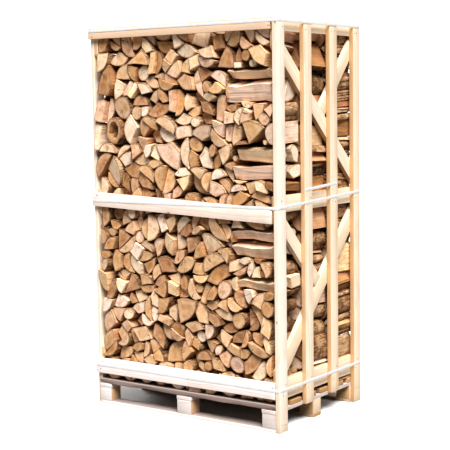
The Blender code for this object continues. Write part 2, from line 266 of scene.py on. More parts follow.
def woodMaterial(name, roughness):
    material, finish = newMaterial(name, roughness)
    tone = separated(attributeOf(material, "woodTone")["Vector"])
    return material, finish, attributeOf(material, "grain")["Vector"], tone


def addBump(finish, height, depth, strength=1.0):
    fed = {"Height": height, "Distance": depth, "Strength": strength}
    feed(finish["Normal"], addNode("ShaderNodeBump", fed)["Normal"])


# Wood of the logs

logColours = dict(
    ends=[(0.0, (0.31, 0.16, 0.075)), (0.22, (0.50, 0.295, 0.15)), (0.45, (0.66, 0.45, 0.27)),
          (0.72, (0.79, 0.60, 0.44)), (1.0, (0.92, 0.80, 0.69))],
    split=[(0.0, (0.27, 0.13, 0.06)), (0.35, (0.50, 0.29, 0.15)), (0.7, (0.73, 0.51, 0.33)),
           (1.0, (0.90, 0.75, 0.60))],
    bark=[(0.0, (0.032, 0.014, 0.006)), (0.34, (0.20, 0.105, 0.050)), (0.58, (0.47, 0.305, 0.175)),
          (1.0, (0.73, 0.57, 0.40))],
    tints=[(0.0, (1.0, 0.85, 0.62)), (0.1, (1.0, 0.92, 0.77)), (0.35, (1.0, 0.95, 0.87)),
           (0.7, (1.0, 0.94, 0.92)), (0.9, (1.0, 0.90, 0.90)), (1.0, (0.80, 0.67, 0.63))],
    heart=(0.48, 0.25, 0.11), sap=(0.90, 0.78, 0.66), rot=(0.17, 0.075, 0.03), crack=(0.10, 0.05, 0.025),
    stain=(0.40, 0.25, 0.15), moss=(0.34, 0.29, 0.16),
)


def endGrainMaterial():
    material, finish, grain, tone = woodMaterial("log end grain", 0.82)
    look = logColours
    rings = effect("rings", grain, {"Ring Width": 0.0031, "Wander": 0.012})
    cracks = effect("cracks", grain, {"Own Number": tone[2]})["Cracks"]
    stain = effect("stains", grain, {"Patch Size": 0.035, "Amount": 0.6})["Stain"]
    rimward = attributeOf(material, "rimward")["Fac"]
    cloud = noiseOf(grain, 34.0, 3.0, 0.6) - 0.5
    patch = noiseOf(scaled(grain, (1.0, 19.0, 19.0))) - 0.5
    colour = colourRamp(cloud * 0.75 + patch * 0.55 + tone[0], look["ends"])
    blush = noiseOf(scaled(grain, (2.0, 27.0, 27.0)), 1.0, 3.0) - 0.5
    colour = mixColour(1.0, colour, colourRamp(blush * 1.1 + tone[1], look["tints"]), "MULTIPLY")
    # some logs have dark heartwood with a clear edge, of a size of their own
    heart = between(rings["Radius"] - (tone[2] * 0.034 + 0.004), -0.006, 0.003, 1.0, 0.0)
    hearted = between(calc("FRACT", tone[2] * 7.0), 0.55, 0.95, 0.05, 0.40)
    # saw strokes run straight across each end, in a direction of its own
    turn = tone[2] * 9.0
    across = combined(0.0, calc("COSINE", turn), calc("SINE", turn))
    stroke = vectorMath("DOT_PRODUCT", grain, across)["Value"]
    fed = {"W": stroke, "Scale": 420.0, "Detail": 2.0}
    strokes = addNode("ShaderNodeTexNoise", fed, noise_dimensions="1D")["Fac"]
    colour = overlaid(
        colour,
        (between(rimward, 0.45, 0.8) * 0.13, look["sap"]),
        (heart * hearted, look["heart"]),
        (rings["Rings"] * 0.25, look["heart"]),
        (stain * 0.55, look["stain"]),
        (between(strokes, 0.5, 0.8) * 0.24, look["stain"]),
        (cracks * 0.85, look["crack"]),
        # painted shade: the outer rim of each sawn end is darkened, standing in for the shade in the gaps
        # between the logs
        (between(rimward, 0.86, 1.0, 0.0, 0.48), look["rot"]),
    )
    feed(finish["Base Color"], colour)
    addBump(finish, rings["Rings"] * 0.4 + strokes * 0.6 - cracks * 2.0, 0.0006)
    return material


def splitFaceMaterial():
    material, finish, grain, tone = woodMaterial("log split face", 0.86)
    look = logColours
    fibres = effect("fibres", grain, {"Fineness": 240.0})
    stain = effect("stains", grain, {"Patch Size": 0.07, "Amount": 0.8})["Stain"]
    broad = noiseOf(scaled(grain, (9.0, 24.0, 24.0)), 1.0, 3.0) - 0.45
    light = (fibres["Fibres"] - 0.5) * 0.45 + tone[0] + broad * 0.8
    colour = mixColour(1.0, colourRamp(light, look["split"]), colourRamp(tone[1], look["tints"]), "MULTIPLY")
    colour = overlaid(colour, (fibres["Streaks"] * 0.20, look["heart"]), (stain * 0.6, look["stain"]))
    feed(finish["Base Color"], colour)
    addBump(finish, fibres["Streaks"] * 0.7 + fibres["Fibres"], 0.0022)
    return material


def barkMaterial():
    material, finish, grain, tone = woodMaterial("log bark", 0.9)
    fed = {"Vector": scaled(grain, (17.0, 58.0, 58.0)), "Scale": 1.0}
    plates = addNode("ShaderNodeTexVoronoi", fed, feature="DISTANCE_TO_EDGE")["Distance"]
    rough = noiseOf(scaled(grain, (20.0, 70.0, 70.0)), 1.0, 6.0, 0.70)
    broken = between(noiseOf(grain, 21.0, 2.0), 0.42, 0.60, 0.25, 1.0)
    furrow = calc("MAXIMUM", between(plates, 0.01, 0.12), 1.0 - broken)
    level = rough * 0.85 + (noiseOf(grain, 18.0, 4.0, 0.6) * 0.95 - 0.60) + tone[0] * 0.35
    colour = colourRamp(level * (furrow * 0.30 + 0.72), logColours["bark"])
    moss = between(noiseOf(grain, 26.0, 4.0, 0.7), 0.60, 0.72) * 0.25
    feed(finish["Base Color"], mixColour(moss, colour, logColours["moss"]))
    addBump(finish, furrow * 0.6 + rough, 0.004)
    return material


logMaterials = [endGrainMaterial(), splitFaceMaterial(), barkMaterial()]


# Sawn softwood of the crate and the pallet

boardColours = dict(
    slat=dict(warm=(0.83, 0.66, 0.48), pale=(0.90, 0.82, 0.73), late=(0.66, 0.46, 0.28),
              knot=(0.26, 0.13, 0.06), stain=(0.60, 0.46, 0.33), edge=(0.56, 0.36, 0.19),
              ends=(0.58, 0.36, 0.17), foot=0.30),
    rail=dict(warm=(0.80, 0.59, 0.43), pale=(0.90, 0.83, 0.81), late=(0.66, 0.48, 0.34),
              knot=(0.26, 0.14, 0.08), stain=(0.60, 0.48, 0.40), edge=(0.66, 0.46, 0.30),
              ends=(0.66, 0.46, 0.30), pins=0.16),
    # the pallet's inner boards are a dark warm brown, partly their own tone and partly painted shade for the
    # shade under the crate
    pallet=dict(warm=(0.46, 0.30, 0.18), pale=(0.84, 0.70, 0.55), late=(0.42, 0.26, 0.15),
                knot=(0.22, 0.12, 0.06), stain=(0.36, 0.24, 0.16), edge=(0.42, 0.26, 0.14),
                ends=(0.48, 0.27, 0.10)),
    weathered=dict(warm=(0.285, 0.245, 0.237), pale=(0.87, 0.80, 0.765), late=(0.50, 0.37, 0.29),
                   knot=(0.22, 0.12, 0.06), stain=(0.33, 0.27, 0.25), edge=(0.27, 0.20, 0.175),
                   ends=(0.50, 0.27, 0.09)),
)
# painted light: the front runner is grey on top and pale in front; its pale front is painted as if lit, and
# its grey top is weathered wood with painted shade from the pallet above it
boardColours["runner"] = dict(boardColours["weathered"], edge=(0.84, 0.77, 0.73))
boardKinds = dict(          # by how a board's name starts, and the first that fits counts; the rest are slat
    pallet_runner_front="runner", pallet_deck_1="weathered", pallet_stringer="weathered",
    # the two right-hand blocks take the pale slat look, painted light for their lit right faces
    pallet_block_front="weathered", pallet_block_middle_right="slat", pallet_block_back_right="slat",
    pallet="pallet", rail_front="rail", rail_back="rail",
)
boardPaleness = dict(       # 0 a warm tan, 1 nearly white; the other boards get a chance value
    rail_front_top=0.0, rail_front_middle=0.62, rail_front_bottom=1.0, slat_right_1=0.85, slat_right_2=0.45,
    slat_right_3=0.40, slat_left_1=0.9, rail_right_top=0.15, pallet_deck_1=0.15, pallet_runner_front=0.06,
    pallet_block_front_left=0.93, pallet_block_front_middle=0.88, pallet_block_front_right=0.84,
    pallet_block_middle_right=0.38, pallet_block_back_right=0.35, pallet_stringer_right=0.85,
    pallet_stringer_left=0.85, pallet_stringer_middle=0.85,
)


def sawnMaterial(kind, endFace=False):
    look = boardColours[kind]
    material, finish, grain, tone = woodMaterial(kind + (" board ends" if endFace else " boards"), 0.72)
    knots = effect("knots", grain, {"Share": 0.30})
    pins = effect("knots", scaled(grain, (2.5, 2.5, 2.5)), {"Share": look.get("pins", 0.07)})["Core"]
    around = vectorMath("ADD", grain, combined(0.0, knots["Halo"] * 0.010))[0]
    rings = effect("rings", around, {"Ring Width": 0.0042, "Wander": 0.020})["Rings"]
    fibres = effect("fibres", around, {"Fineness": 420.0})["Fibres"]
    stain = effect("stains", scaled(grain, (0.5, 1.0, 1.0)), {"Patch Size": 0.09, "Amount": 0.7})["Stain"]
    late = calc("ADD", rings * 0.42, fibres * 0.5 - 0.2, clamp=True)
    late = calc("ADD", late, (0.5 - tone[0]) * 0.5, clamp=True)
    # painted shade: the narrow sides are browner than the faces, as if in shade, less so on pale boards;
    # slats also get browner towards the ground
    section = separated(attributeOf(material, "section")["Vector"])
    narrow = calc("GREATER_THAN", abs(section[0]), 0.985) * 0.92
    paintedSideShading = calc("MULTIPLY_ADD", tone[1], -1.6, 1.6, clamp=True)
    nearEdge = calc("MINIMUM", abs(section[0]), abs(section[1]))
    height = separated(source(material, "ShaderNodeTexCoord")["Object"])[2]
    colour = overlaid(
        mixColour(tone[1], look["warm"], look["pale"]),
        (late, look["late"]),
        (stain * 0.45, look["stain"]),
        (knots["Halo"] * 0.22, look["late"]),
        (knots["Core"] * 0.8, look["knot"]),
        (pins * 0.75, look["knot"]),
        # painted shade on the narrow sides; on the front runner the same mix paints its narrow front pale, as
        # if lit
        (narrow * paintedSideShading, look["edge"]),
        (between(nearEdge, 0.90, 1.0, 0.0, 0.15), look["stain"]),
        # browner towards the ground
        (between(height, 0.02, 0.30, look.get("foot", 0.0), 0.0), look["edge"]),
        (0.72 if endFace else 0.0, look["ends"]),
    )
    feed(finish["Base Color"], colour)
    feed(finish["Roughness"], between(rings, 0.0, 1.0, 0.78, 0.62))
    # the frame saw leaves faint bands across the boards
    fed = {"Vector": scaled(grain, (1.0, 0.12, 0.12)), "Scale": 75.0, "Distortion": 5.0, "Detail": 2.0}
    bands = addNode("ShaderNodeTexWave", fed, bands_direction="X")["Fac"]
    addBump(finish, bands * 0.35 + (rings * 0.3 + fibres), 0.0007)
    return material


boardMaterials = {kind: [sawnMaterial(kind), sawnMaterial(kind, endFace=True)] for kind in boardColours}
print("wood materials built")


# What every piece needs once its mesh is made

def meshOf(name, bm, materials):
    mesh = bpy.data.meshes.new(name)
    bm.to_mesh(mesh)
    bm.free()
    for material in materials:
        mesh.materials.append(material)
    return mesh


def addObject(name, data):
    obj = bpy.data.objects.new(name, data)
    bpy.context.scene.collection.objects.link(obj)
    return obj


def addPiece(name, mesh, slot, node):
    piece = addObject(name, mesh)
    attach(piece, "root")
    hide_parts(node)


# Boards. Each CAD board is copied and merged, and given rounded edges, cuts along its length and a little
# unevenness.

boardLook = dict(
    merge=0.00001, rounding=0.0012, step=0.045,
    ripple=0.0004, rippleScale=16.0, bow=0.0009, bowScale=1.7,
    wane=0.018,             # how far the trunk's round outside reaches in, at most
    plainSides=0.97,        # keeps two runners' narrow sides from being browned
)


def boardAxes(node, bm):
    # along the fibres, across the board and through it
    through = Vector((0, 0, 1)) if node.startswith("pallet") else Vector((1, 0, 0))
    if node.startswith(("rail_front", "rail_back")):
        through = Vector((0, 1, 0))
    if "block" in node:
        along = Vector((1, 0, 0))
    else:
        longest = max(bm.edges, key=lambda edge: edge.calc_length())
        along = (longest.verts[1].co - longest.verts[0].co).normalized()
    return along, along.cross(through).normalized(), through


def addWane(bm):
    # the trunk's round outside, left along the lower front edge of a deck board
    low = min(vert.co.z for vert in bm.verts)
    near = min(vert.co.y for vert in bm.verts)
    lowest = [vert for vert in bm.verts if abs(vert.co.z - low) < 1e-5 and abs(vert.co.y - near) < 1e-5]
    edges = [edge for edge in bm.edges if all(vert in lowest for vert in edge.verts)]
    made = bmesh.ops.bevel(bm, geom=edges, offset=boardLook["wane"], segments=4, profile=0.6, affect="EDGES")
    for vert in {vert for face in made["faces"] for vert in face.verts}:
        corner = Vector((vert.co.x, near, low))
        broad = noise.noise(Vector((vert.co.x * 6.0, 3.1, 0.0)))
        much = 0.55 + 1.3 * broad + 0.35 * noise.noise(vert.co * 60.0)
        vert.co = corner + (vert.co - corner) * min(1.15, max(0.1, much))


def cutAlong(bm, along, step):
    reach = [vert.co.dot(along) for vert in bm.verts]
    start, length = min(reach), max(reach) - min(reach)
    count = max(2, round(length / step))
    for number in range(1, count):
        place = along * (start + length * number / count)
        parts = bm.verts[:] + bm.edges[:] + bm.faces[:]
        bmesh.ops.bisect_plane(bm, geom=parts, plane_co=place, plane_no=along)


def dressBoard(node):
    look = boardLook
    chance = random.Random(node)
    bm = bmesh.new()
    bm.from_mesh(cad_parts[node].data)
    bmesh.ops.remove_doubles(bm, verts=bm.verts, dist=look["merge"])
    bmesh.ops.dissolve_limit(bm, angle_limit=math.radians(1), verts=bm.verts, edges=bm.edges)
    along, across, through = boardAxes(node, bm)
    middle = sum((vert.co for vert in bm.verts), Vector()) / len(bm.verts)
    half = [max(abs((vert.co - middle).dot(axis)) for vert in bm.verts) for axis in (across, through)]
    if node in ("pallet_runner_middle", "pallet_runner_back"):
        half[0] /= look["plainSides"]
    cutAlong(bm, along, look["step"])
    # end grain is browner; the ends of the right-hand pieces and the stringers are left pale, painted light
    # as if lit
    browned = not (node.endswith("_right") or "stringer" in node)    # the others have pale ends
    for face in bm.faces:
        face.material_index = 1 if browned and abs(face.normal.dot(along)) > 0.7 else 0
        face.smooth = True
    if node in ("pallet_deck_1", "pallet_deck_4"):
        addWane(bm)
    sharp = [edge for edge in bm.edges if edge.calc_face_angle(0) > 0.9]
    bmesh.ops.bevel(bm, geom=sharp, offset=look["rounding"], segments=2, profile=0.6, affect="EDGES")
    bm.verts.ensure_lookup_table()
    layers = bm.verts.layers.float_vector
    grain, tone, section = [layers.new(name) for name in ("grain", "woodTone", "section")]
    pith = (chance.uniform(-0.06, 0.06), chance.choice((-1, 1)) * chance.uniform(0.015, 0.09))
    ownTone = (chance.uniform(0.3, 0.75), boardPaleness.get(node, chance.uniform(0.1, 0.6)), chance.random())
    shift = Vector((chance.uniform(0, 90), chance.uniform(0, 90), 0))
    for vert in bm.verts:
        here = vert.co - middle
        sides = here.dot(across), here.dot(through)
        vert[grain] = (here.dot(along) + ownTone[2] * 17, sides[0] - pith[0], sides[1] - pith[1])
        vert[tone] = ownTone
        vert[section] = (sides[0] / half[0], sides[1] / half[1], 0.0)
        ripple = noise.noise_vector(vert.co * look["rippleScale"] + shift) * look["ripple"]
        vert.co += ripple + noise.noise_vector(vert.co * look["bowScale"] + shift) * look["bow"]
    kind = next((kind for start, kind in boardKinds.items() if node.startswith(start)), "slat")
    first, rest = node.split("_", 1)
    mesh = meshOf(f"{first}_wood_{rest}", bm, boardMaterials[kind])
    mesh.set_sharp_from_angle(angle=math.radians(50))
    addPiece(mesh.name, mesh, "pallet_wood" if first == "pallet" else kind + "_wood", node)


boardNodes = sorted(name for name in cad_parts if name.startswith(("pallet", "slat", "rail", "brace")))
for boardNode in boardNodes:
    dressBoard(boardNode)
print("boards built:", len(boardNodes))


# Logs. Each of the CAD's sawn ends gives a place. A split-log form is fitted to it, and then all of a row's
# logs are grown and nudged until they touch.

logLook = dict(
    around=26,                    # points round a log
    rings=(0.04, 0.12, 0.20),     # where the sides have a ring of points, from the sawn end, in metres
    length=(0.243, 0.252),
    shallow=0.9, deep=2.4, deepShare=0.16,   # how much further back than the CAD's ends the sawn ends lie
    stickDepth=(0.03, 0.10),      # and how far back the thin sticks start
    proud=(0.16, 0.002, 0.010),   # share that stick out, and how far
    flush=0.018, sideReach=0.52,  # logs that reach this far sideways end nearly flush with the rails
    sawTilt=0.09,                 # slope of a saw cut
    lean=0.004,                   # how far a log's hidden end is shifted on its own
    drift=0.050, driftScale=3.2,  # and together with its neighbours
    sideRise=0.009,               # most that a log between the braces may rise or fall
    warp=0.009, warpScale=12.0,   # a slow warp of all outlines
    slump=dict(x=0.50, z=1.82, size=0.19, drop=0.062),   # where the middle row sags towards the back
    hollow=(-0.47, 1.53),         # the place of a log whose middle has rotted away
    bark=(0.0014, 0.0032),        # bark thickness
    bulges=[(1.6, 0.028), (5.0, 0.012), 0.008],     # bark: how fine and large its bumps are, and how deep
    ragged=[(55.0, 0.034), (160.0, 0.016), 0.012],  # and the same for split faces
    sideBumps=(0.0018, 0.0010),   # along the sides, for bark and for split faces
    light=(0.565, 0.19),          # how light the logs are, and how much that varies
    railGap=0.006,                # ends further than this from a rail may stick out
    flare=0.020, flareReach=0.045, flareLength=0.11,    # thicker ends, which fill the hidden back corners
    flareZone=0.10,               # how far in front of the back those corners start
    rotten=[(0.36, 0.045, 2), (0.62, 0.026, 1), (0.70, 0.0, 0)],    # the hollow's rings: share, depth, finish
    chamfer=0.0009, setBack=(0.001, 0.008),             # the middle row starts a little behind the front one
    kinds=dict(half=25, wedge=33, round=4, slab=8, block=12, segment=10, sliver=5, quad=6),
    smallPlace=0.0034,            # places below this area, in square metres, often hold a round stick
)
laidLogs = dict(                  # some of the front row lie across its right end, two behind each other
    heights=[(0.700, 0.765), (0.862, 0.936), (0.942, 1.008), (1.250, 1.322), (1.328, 1.420), (1.630, 1.742),
             (1.748, 1.802)],
    length=0.232, apart=0.004, stagger=0.030, inset=0.007, light=(1.12, 1.38),
    sway=0.018, taper=(0.06, 0.28),    # they are a little crooked, and thinner at their hidden ends
)
packing = dict(
    rounds=26, grow=0.06, turn=0.06, nudge=0.0026, settle=0.0008, outwards=0.0024, gap=0.0006,
    stretch=0.07, mostStretch=1.24,      # logs also grow one way only, until they are this much longer
    roomy=0.0065, smallest=0.0007,       # area of a place large enough for the hollow log, and for any log
    most=1.5, largest=0.068, margin=0.0015, clear=0.011,
    pushStep=0.002, pushSteps=35, pushSway=0.0005, pushZone=0.37,
    sticks=dict(tries=800, size=(0.011, 0.018), inset=0.06, most=0.036, rings=(0.11,)),
    notches=dict(step=0.005, depth=0.034, inset=(1.0, 2.0), tries=24, sizes=(0.020, 0.005),
                 gap=-0.004),            # wedged in tightly
)


def outlineOf(node, outward):
    # the sawn ends that the CAD row shows: each a flat facet with an outline and a depth
    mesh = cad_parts[node].data
    spots = [vert.co for vert in mesh.vertices]
    edges = set()
    for face in mesh.polygons:
        if face.normal.y * outward < 0.99:
            continue
        keys = [tuple(round(spots[v][axis] * 1e5) for axis in (0, 2, 1)) for v in face.vertices]
        edges.update(zip(keys, keys[1:] + keys[:1]))
    onward = {}
    for first, second in sorted(edges):
        if (second, first) not in edges:
            onward.setdefault(first, []).append(second)
    return onward


def endCells(node, outward):
    onward = outlineOf(node, outward)
    cells = []
    while onward:
        start = min(onward)
        here, loop = start, []
        while True:
            loop.append(here)
            after = onward[here].pop()
            if not onward[here]:
                del onward[here]
            here = after
            if here == start:
                break
        corners = [Vector((x * 1e-5, z * 1e-5)) for x, z, _ in loop]
        hull = np.array([corners[k] for k in geometry.convex_hull_2d(corners)])
        if areaOf(hull) < 0:
            hull = hull[::-1]
        hull = plainCorners(hull)
        if areaOf(hull) > 0.0004:
            cells.append((hull, loop[0][2] * 1e-5))
    return sorted(cells, key=lambda cell: tuple(cell[0][0][::-1]))


def areaOf(outline):
    ahead = np.roll(outline, -1, axis=0)
    return float((outline[:, 0] * ahead[:, 1] - ahead[:, 0] * outline[:, 1]).sum()) / 2


def plainCorners(outline):
    # leaves out points on nearly straight runs
    before, ahead = outline - np.roll(outline, 1, axis=0), np.roll(outline, -1, axis=0) - outline
    lengths = np.linalg.norm(before, axis=1) * np.linalg.norm(ahead, axis=1)
    return outline[(before * ahead).sum(axis=1) < 0.985 * lengths]


def arc(start, end, count=17, radius=1.0):
    angles = np.radians(np.linspace(start, end, count))
    return [radius * np.array((math.cos(a), math.sin(a))) for a in angles]


def logForm(kind, chance):
    # a log's end about the pith of its trunk, counter-clockwise: corners, and arcs that still have bark
    def bark(curve):
        return [(spot, True) for spot in curve[:-1]] + [(curve[-1], False)]

    wide = chance.uniform(0.84, 1.0)
    if kind == "round":
        path = [(spot * (1, wide), True) for spot in arc(0, 352, 45)]
    elif kind == "half":
        low = chance.uniform(-6, 16)
        path = bark([spot * (1, wide) for spot in arc(low, 180 - low, 25)])
    elif kind == "segment":
        low = chance.uniform(22, 42)
        path = bark(arc(low, 180 - low))
    elif kind == "slab":
        low, high = chance.uniform(16, 34), chance.uniform(12, 30)
        path = bark(arc(-low, high, 9)) + bark(arc(180 - high + chance.uniform(-6, 6), 180 + low, 9))
    elif kind == "quad":
        corners = arc(chance.uniform(25, 45), 385, 5)[:-1]
        path = [(corner * chance.uniform(0.85, 1.1), False) for corner in corners]
    else:
        spread = dict(wedge=(60, 128), block=(46, 84), sliver=(28, 44))[kind]
        half = chance.uniform(*spread) / 2
        inner = chance.uniform(0.38, 0.55) if kind == "block" else 0.0
        start = [(spot, False) for spot in arc(half, -half, 2, inner)] if inner else [(np.zeros(2), False)]
        path = start + bark(arc(-half, half))
        skew = chance.uniform(-0.25, 0.25)
        path = [(spot + np.array((0.0, skew * spot[0])), rind) for spot, rind in path]
    return evenOutline(path, logLook["around"])


def evenOutline(path, count):
    # evenly spaced points that keep the path's corners, and for each stretch whether it is bark
    spots = np.array([spot for spot, _ in path])
    following = np.roll(spots, -1, axis=0)
    steps = np.linalg.norm(following - spots, axis=1)
    along = np.concatenate([[0], np.cumsum(steps)])

    def place(shift):
        places = (np.arange(count) + shift) / count * along[-1]
        found = np.clip(np.searchsorted(along, places, side="right") - 1, 0, len(spots) - 1)
        return found, (places - along[found]) / np.maximum(steps[found], 1e-9)

    found, share = place(0.0)
    points = spots[found] + (following - spots)[found] * share[:, None]
    for k, (spot, rind) in enumerate(path):
        if not rind or not path[k - 1][1]:
            points[int(np.linalg.norm(points - spot, axis=1).argmin())] = spot
    rinds = np.array([rind for _, rind in path])
    return points, rinds[place(0.5)[0]]


def facing(points):
    # outward unit normals of a convex outline, and how far out each edge lies
    edges = np.roll(points, -1, axis=0) - points
    normals = np.stack([edges[:, 1], -edges[:, 0]], axis=1)
    normals /= np.maximum(np.linalg.norm(normals, axis=1), 1e-9)[:, None]
    return normals, (normals * points).sum(axis=1)


def spins(angles):
    cos, sin = np.cos(angles), np.sin(angles)
    return np.stack([np.stack([cos, -sin], axis=-1), np.stack([sin, cos], axis=-1)], axis=-2)


def largestFit(points, cell):
    # the form's largest copy inside a convex place: (size, turn, middle), where three edges hold it
    normals, limits = facing(cell)
    angles = np.linspace(0, math.tau, 16, endpoint=False)
    turned = np.einsum("tij,nj->tni", spins(angles), points)
    reach = np.einsum("tni,mi->tnm", turned, normals).max(axis=1)
    trios = np.array(list(itertools.combinations(range(len(cell)), 3)))
    held = np.broadcast_to(normals[trios], (len(angles), *trios.shape, 2))
    system = np.concatenate([held, reach[:, trios][..., None]], axis=3)
    system[np.abs(np.linalg.det(system)) < 1e-6] = np.eye(3)
    sides = np.broadcast_to(limits[trios], system.shape[:3])[..., None]
    found = np.linalg.solve(system, sides)[..., 0]
    slack = limits - found[..., :2] @ normals.T - found[..., 2:] * reach[:, None, :]
    sizes = np.where((slack > -1e-6).all(axis=2), found[..., 2], 0.0)
    turn, trio = np.unravel_index(sizes.argmax(), sizes.shape)
    return sizes[turn, trio], angles[turn], found[turn, trio, :2]


def fittedLog(cell, chance, wanted=None):
    look = logLook
    area = areaOf(cell)
    kinds = list(look["kinds"])
    picks = chance.choices(kinds, [look["kinds"][kind] for kind in kinds], k=6)
    if area < look["smallPlace"] and chance.random() < 0.3:
        picks = ["round"]
    picks = wanted or picks
    best = None
    for kind in picks:
        points, rinds = logForm(kind, chance)
        size, turn, middle = largestFit(points, cell)
        cover = size * size * areaOf(points) / area * chance.uniform(0.85, 1.15)
        if best is None or cover > best["cover"]:
            best = dict(kind=kind, points=points, rinds=rinds, size=size, turn=turn, middle=middle,
                        cover=cover)
    return best


def placed(log, size=None, turn=None, middle=None):
    size = log["size"] if size is None else size
    turn = log["turn"] if turn is None else turn
    middle = log["middle"] if middle is None else middle
    return log["points"] @ (size * spins(np.array(turn))).T + middle


def clipped(outline, normal, limit):
    # the part of a convex outline on one side of a line
    out = outline @ np.array(normal) - limit
    kept = []
    for k, spot in enumerate(outline):
        before = k - 1
        if out[before] * out[k] < 0:
            kept.append(outline[before] + (spot - outline[before]) * out[before] / (out[before] - out[k]))
        if out[k] <= 0:
            kept.append(spot)
    return np.array(kept).reshape(-1, 2)


def besides(cell, box):
    # the largest part of a cell that lies left of, below or above a box
    (left, bottom), (right, top) = box
    if cell[:, 0].max() <= left or cell[:, 1].max() <= bottom or cell[:, 1].min() >= top:
        return cell
    parts = [clipped(cell, (1, 0), left), clipped(cell, (0, 1), bottom), clipped(cell, (0, -1), -top)]
    return max(parts, key=lambda part: areaOf(part) if len(part) > 2 else 0.0)


def sideBlocks(sign, low, high):
    # the heights where a side rail or a brace passes these logs, between the slats and the stack
    side = "right" if sign > 0 else "left"
    blocks = []
    for name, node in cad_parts.items():
        if not name.startswith((f"rail_{side}", f"brace_{side}")):
            continue
        ends = [[node.data.vertices[v].co for v in edge.vertices] for edge in node.data.edges]
        heights = []
        for a, b in ends:
            for y in (low, high):
                if (a.y - y) * (b.y - y) < 0:
                    heights.append(a.z + (b.z - a.z) * (y - a.y) / (b.y - a.y))
            heights.extend(p.z for p in (a, b) if low <= p.y <= high)
        if heights:
            blocks.append((min(heights) - packing["clear"], max(heights) + packing["clear"]))
    return blocks


class Row:
    # one row of logs seen from its end: what is in it, and where there is room

    def __init__(self, name, seed):
        low, high = (corner.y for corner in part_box(f"log_row_{name}"))
        margin = packing["margin"]
        self.name = name
        self.inward = -1 if name == "back" else 1
        self.face, self.stop = (low, high) if self.inward > 0 else (high, low)
        self.leans, self.slumps = True, name == "middle"
        self.blocks = [(sign, *block) for sign in (-1, 1) for block in sideBlocks(sign, low, high)]
        # where no log end widens: beside the corner's braces, and everywhere in the other two rows
        self.cornerBlocks = [(sign, -math.inf, math.inf) for sign in (-1, 1)]
        if name == "back":
            low = high - logLook["flareZone"]
            self.cornerBlocks = [(sign, *block) for sign in (-1, 1) for block in sideBlocks(sign, low, high)]
        self.chance = random.Random(seed)
        self.shift = seed * 0.37
        self.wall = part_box("slat_right_1")[0].x - margin
        self.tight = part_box("rail_right_top")[0].x - margin
        self.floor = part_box("pallet_deck_1")[1].z + margin
        self.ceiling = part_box("rail_right_top")[1].z - 0.008
        self.logs = []
        self.shapes = np.zeros((0, logLook["around"], 2))
        self.normals, self.limits = self.shapes.copy(), np.zeros((0, logLook["around"]))
        self.middles, self.radii = np.zeros((0, 2)), np.zeros(0)

    def add(self, log):
        self.logs.append(log)
        shape = placed(log)
        normals, limits = facing(shape)
        self.shapes = np.append(self.shapes, shape[None], axis=0)
        self.normals = np.append(self.normals, normals[None], axis=0)
        self.limits = np.append(self.limits, limits[None], axis=0)
        self.middles = np.append(self.middles, log["middle"][None], axis=0)
        self.radii = np.append(self.radii, np.linalg.norm(shape - log["middle"], axis=1).max())

    def layAcross(self, bottom, top):
        # keeps room at the right for logs that lie across the row, and says where
        held = any(sign > 0 and low < top and high > bottom for sign, low, high in self.blocks)
        right = (self.tight if held else self.wall) - laidLogs["inset"]
        left = right - laidLogs["length"] - self.chance.uniform(0, laidLogs["stagger"])
        centre = np.array(((left + right) / 2, (bottom + top) / 2))
        corners = ((left, bottom), (right, bottom), (right, top), (left, top))
        path = [(np.array(corner) - centre, False) for corner in corners]
        points, rinds = evenOutline(path, logLook["around"])
        self.add(dict(kind="laid", points=points, rinds=rinds, size=1.0, turn=0.0, middle=centre))
        return (left, bottom), (right, top)

    def inside(self, shape):
        if shape[:, 1].min() < self.floor or shape[:, 1].max() > self.ceiling:
            return False
        reach = np.abs(shape[:, 0]).max()
        if reach < self.tight:
            return True
        if reach > self.wall:
            return False
        for sign, bottom, top in self.blocks:
            held = (shape[:, 1] > bottom) & (shape[:, 1] < top)
            if (shape[held, 0] * sign > self.tight).any():
                return False
        return True

    def free(self, number, middle, shape, gap=packing["gap"]):
        apart = np.linalg.norm(self.middles - middle, axis=1)
        near = np.flatnonzero(apart < self.radii + np.linalg.norm(shape - middle, axis=1).max() + 0.002)
        near = near[near != number]
        if not len(near):
            return True
        normal, limit = facing(shape)
        mine = (self.shapes[near] @ normal.T).min(axis=1) - limit
        near = near[mine.max(axis=1) <= gap]
        if not len(near):
            return True
        theirs = (self.normals[near] @ shape.T).min(axis=2) - self.limits[near]
        return bool((theirs.max(axis=1) > gap).all())

    def nudge(self, number, grow):
        log, rule, chance = self.logs[number], packing, self.chance
        size = min(log["size"] * (1 + chance.random() * grow), log["most"])
        turn = log["turn"] + chance.gauss(0, rule["turn"])
        out = math.copysign(rule["outwards"], log["middle"][0]) if abs(log["middle"][0]) > 0.45 else 0.0
        step = (chance.gauss(out, rule["nudge"]), chance.gauss(-rule["settle"], rule["nudge"]))
        return self.place(number, size=size, turn=turn, middle=log["middle"] + np.array(step))

    def stretch(self, number):
        # makes a log a little longer in one direction
        log, chance = self.logs[number], self.chance
        much = chance.random() * packing["stretch"]
        if log["stretched"] * (1 + much) > packing["mostStretch"]:
            return
        angle = chance.uniform(0, math.pi)
        way = np.array((math.cos(angle), math.sin(angle)))
        points = log["points"] + np.outer(log["points"] @ way, way) * much
        self.place(number, points=points, stretched=log["stretched"] * (1 + much))

    def place(self, number, **change):
        # changes a log if nothing is in its way
        trial = {**self.logs[number], **change}
        shape, middle = placed(trial), trial["middle"]
        if not (self.inside(shape) and self.free(number, middle, shape)):
            return False
        self.logs[number].update(change)
        self.shapes[number] = shape
        self.normals[number], self.limits[number] = facing(shape)
        self.middles[number] = middle
        self.radii[number] = np.linalg.norm(shape - middle, axis=1).max()
        return True

    def settle(self, rounds):
        for _ in range(rounds):
            order = [number for number, log in enumerate(self.logs) if log["kind"] != "laid"]
            self.chance.shuffle(order)
            for number in order:
                if not self.nudge(number, packing["grow"]):
                    self.nudge(number, 0.0)
                self.stretch(number)

    def pushOut(self):
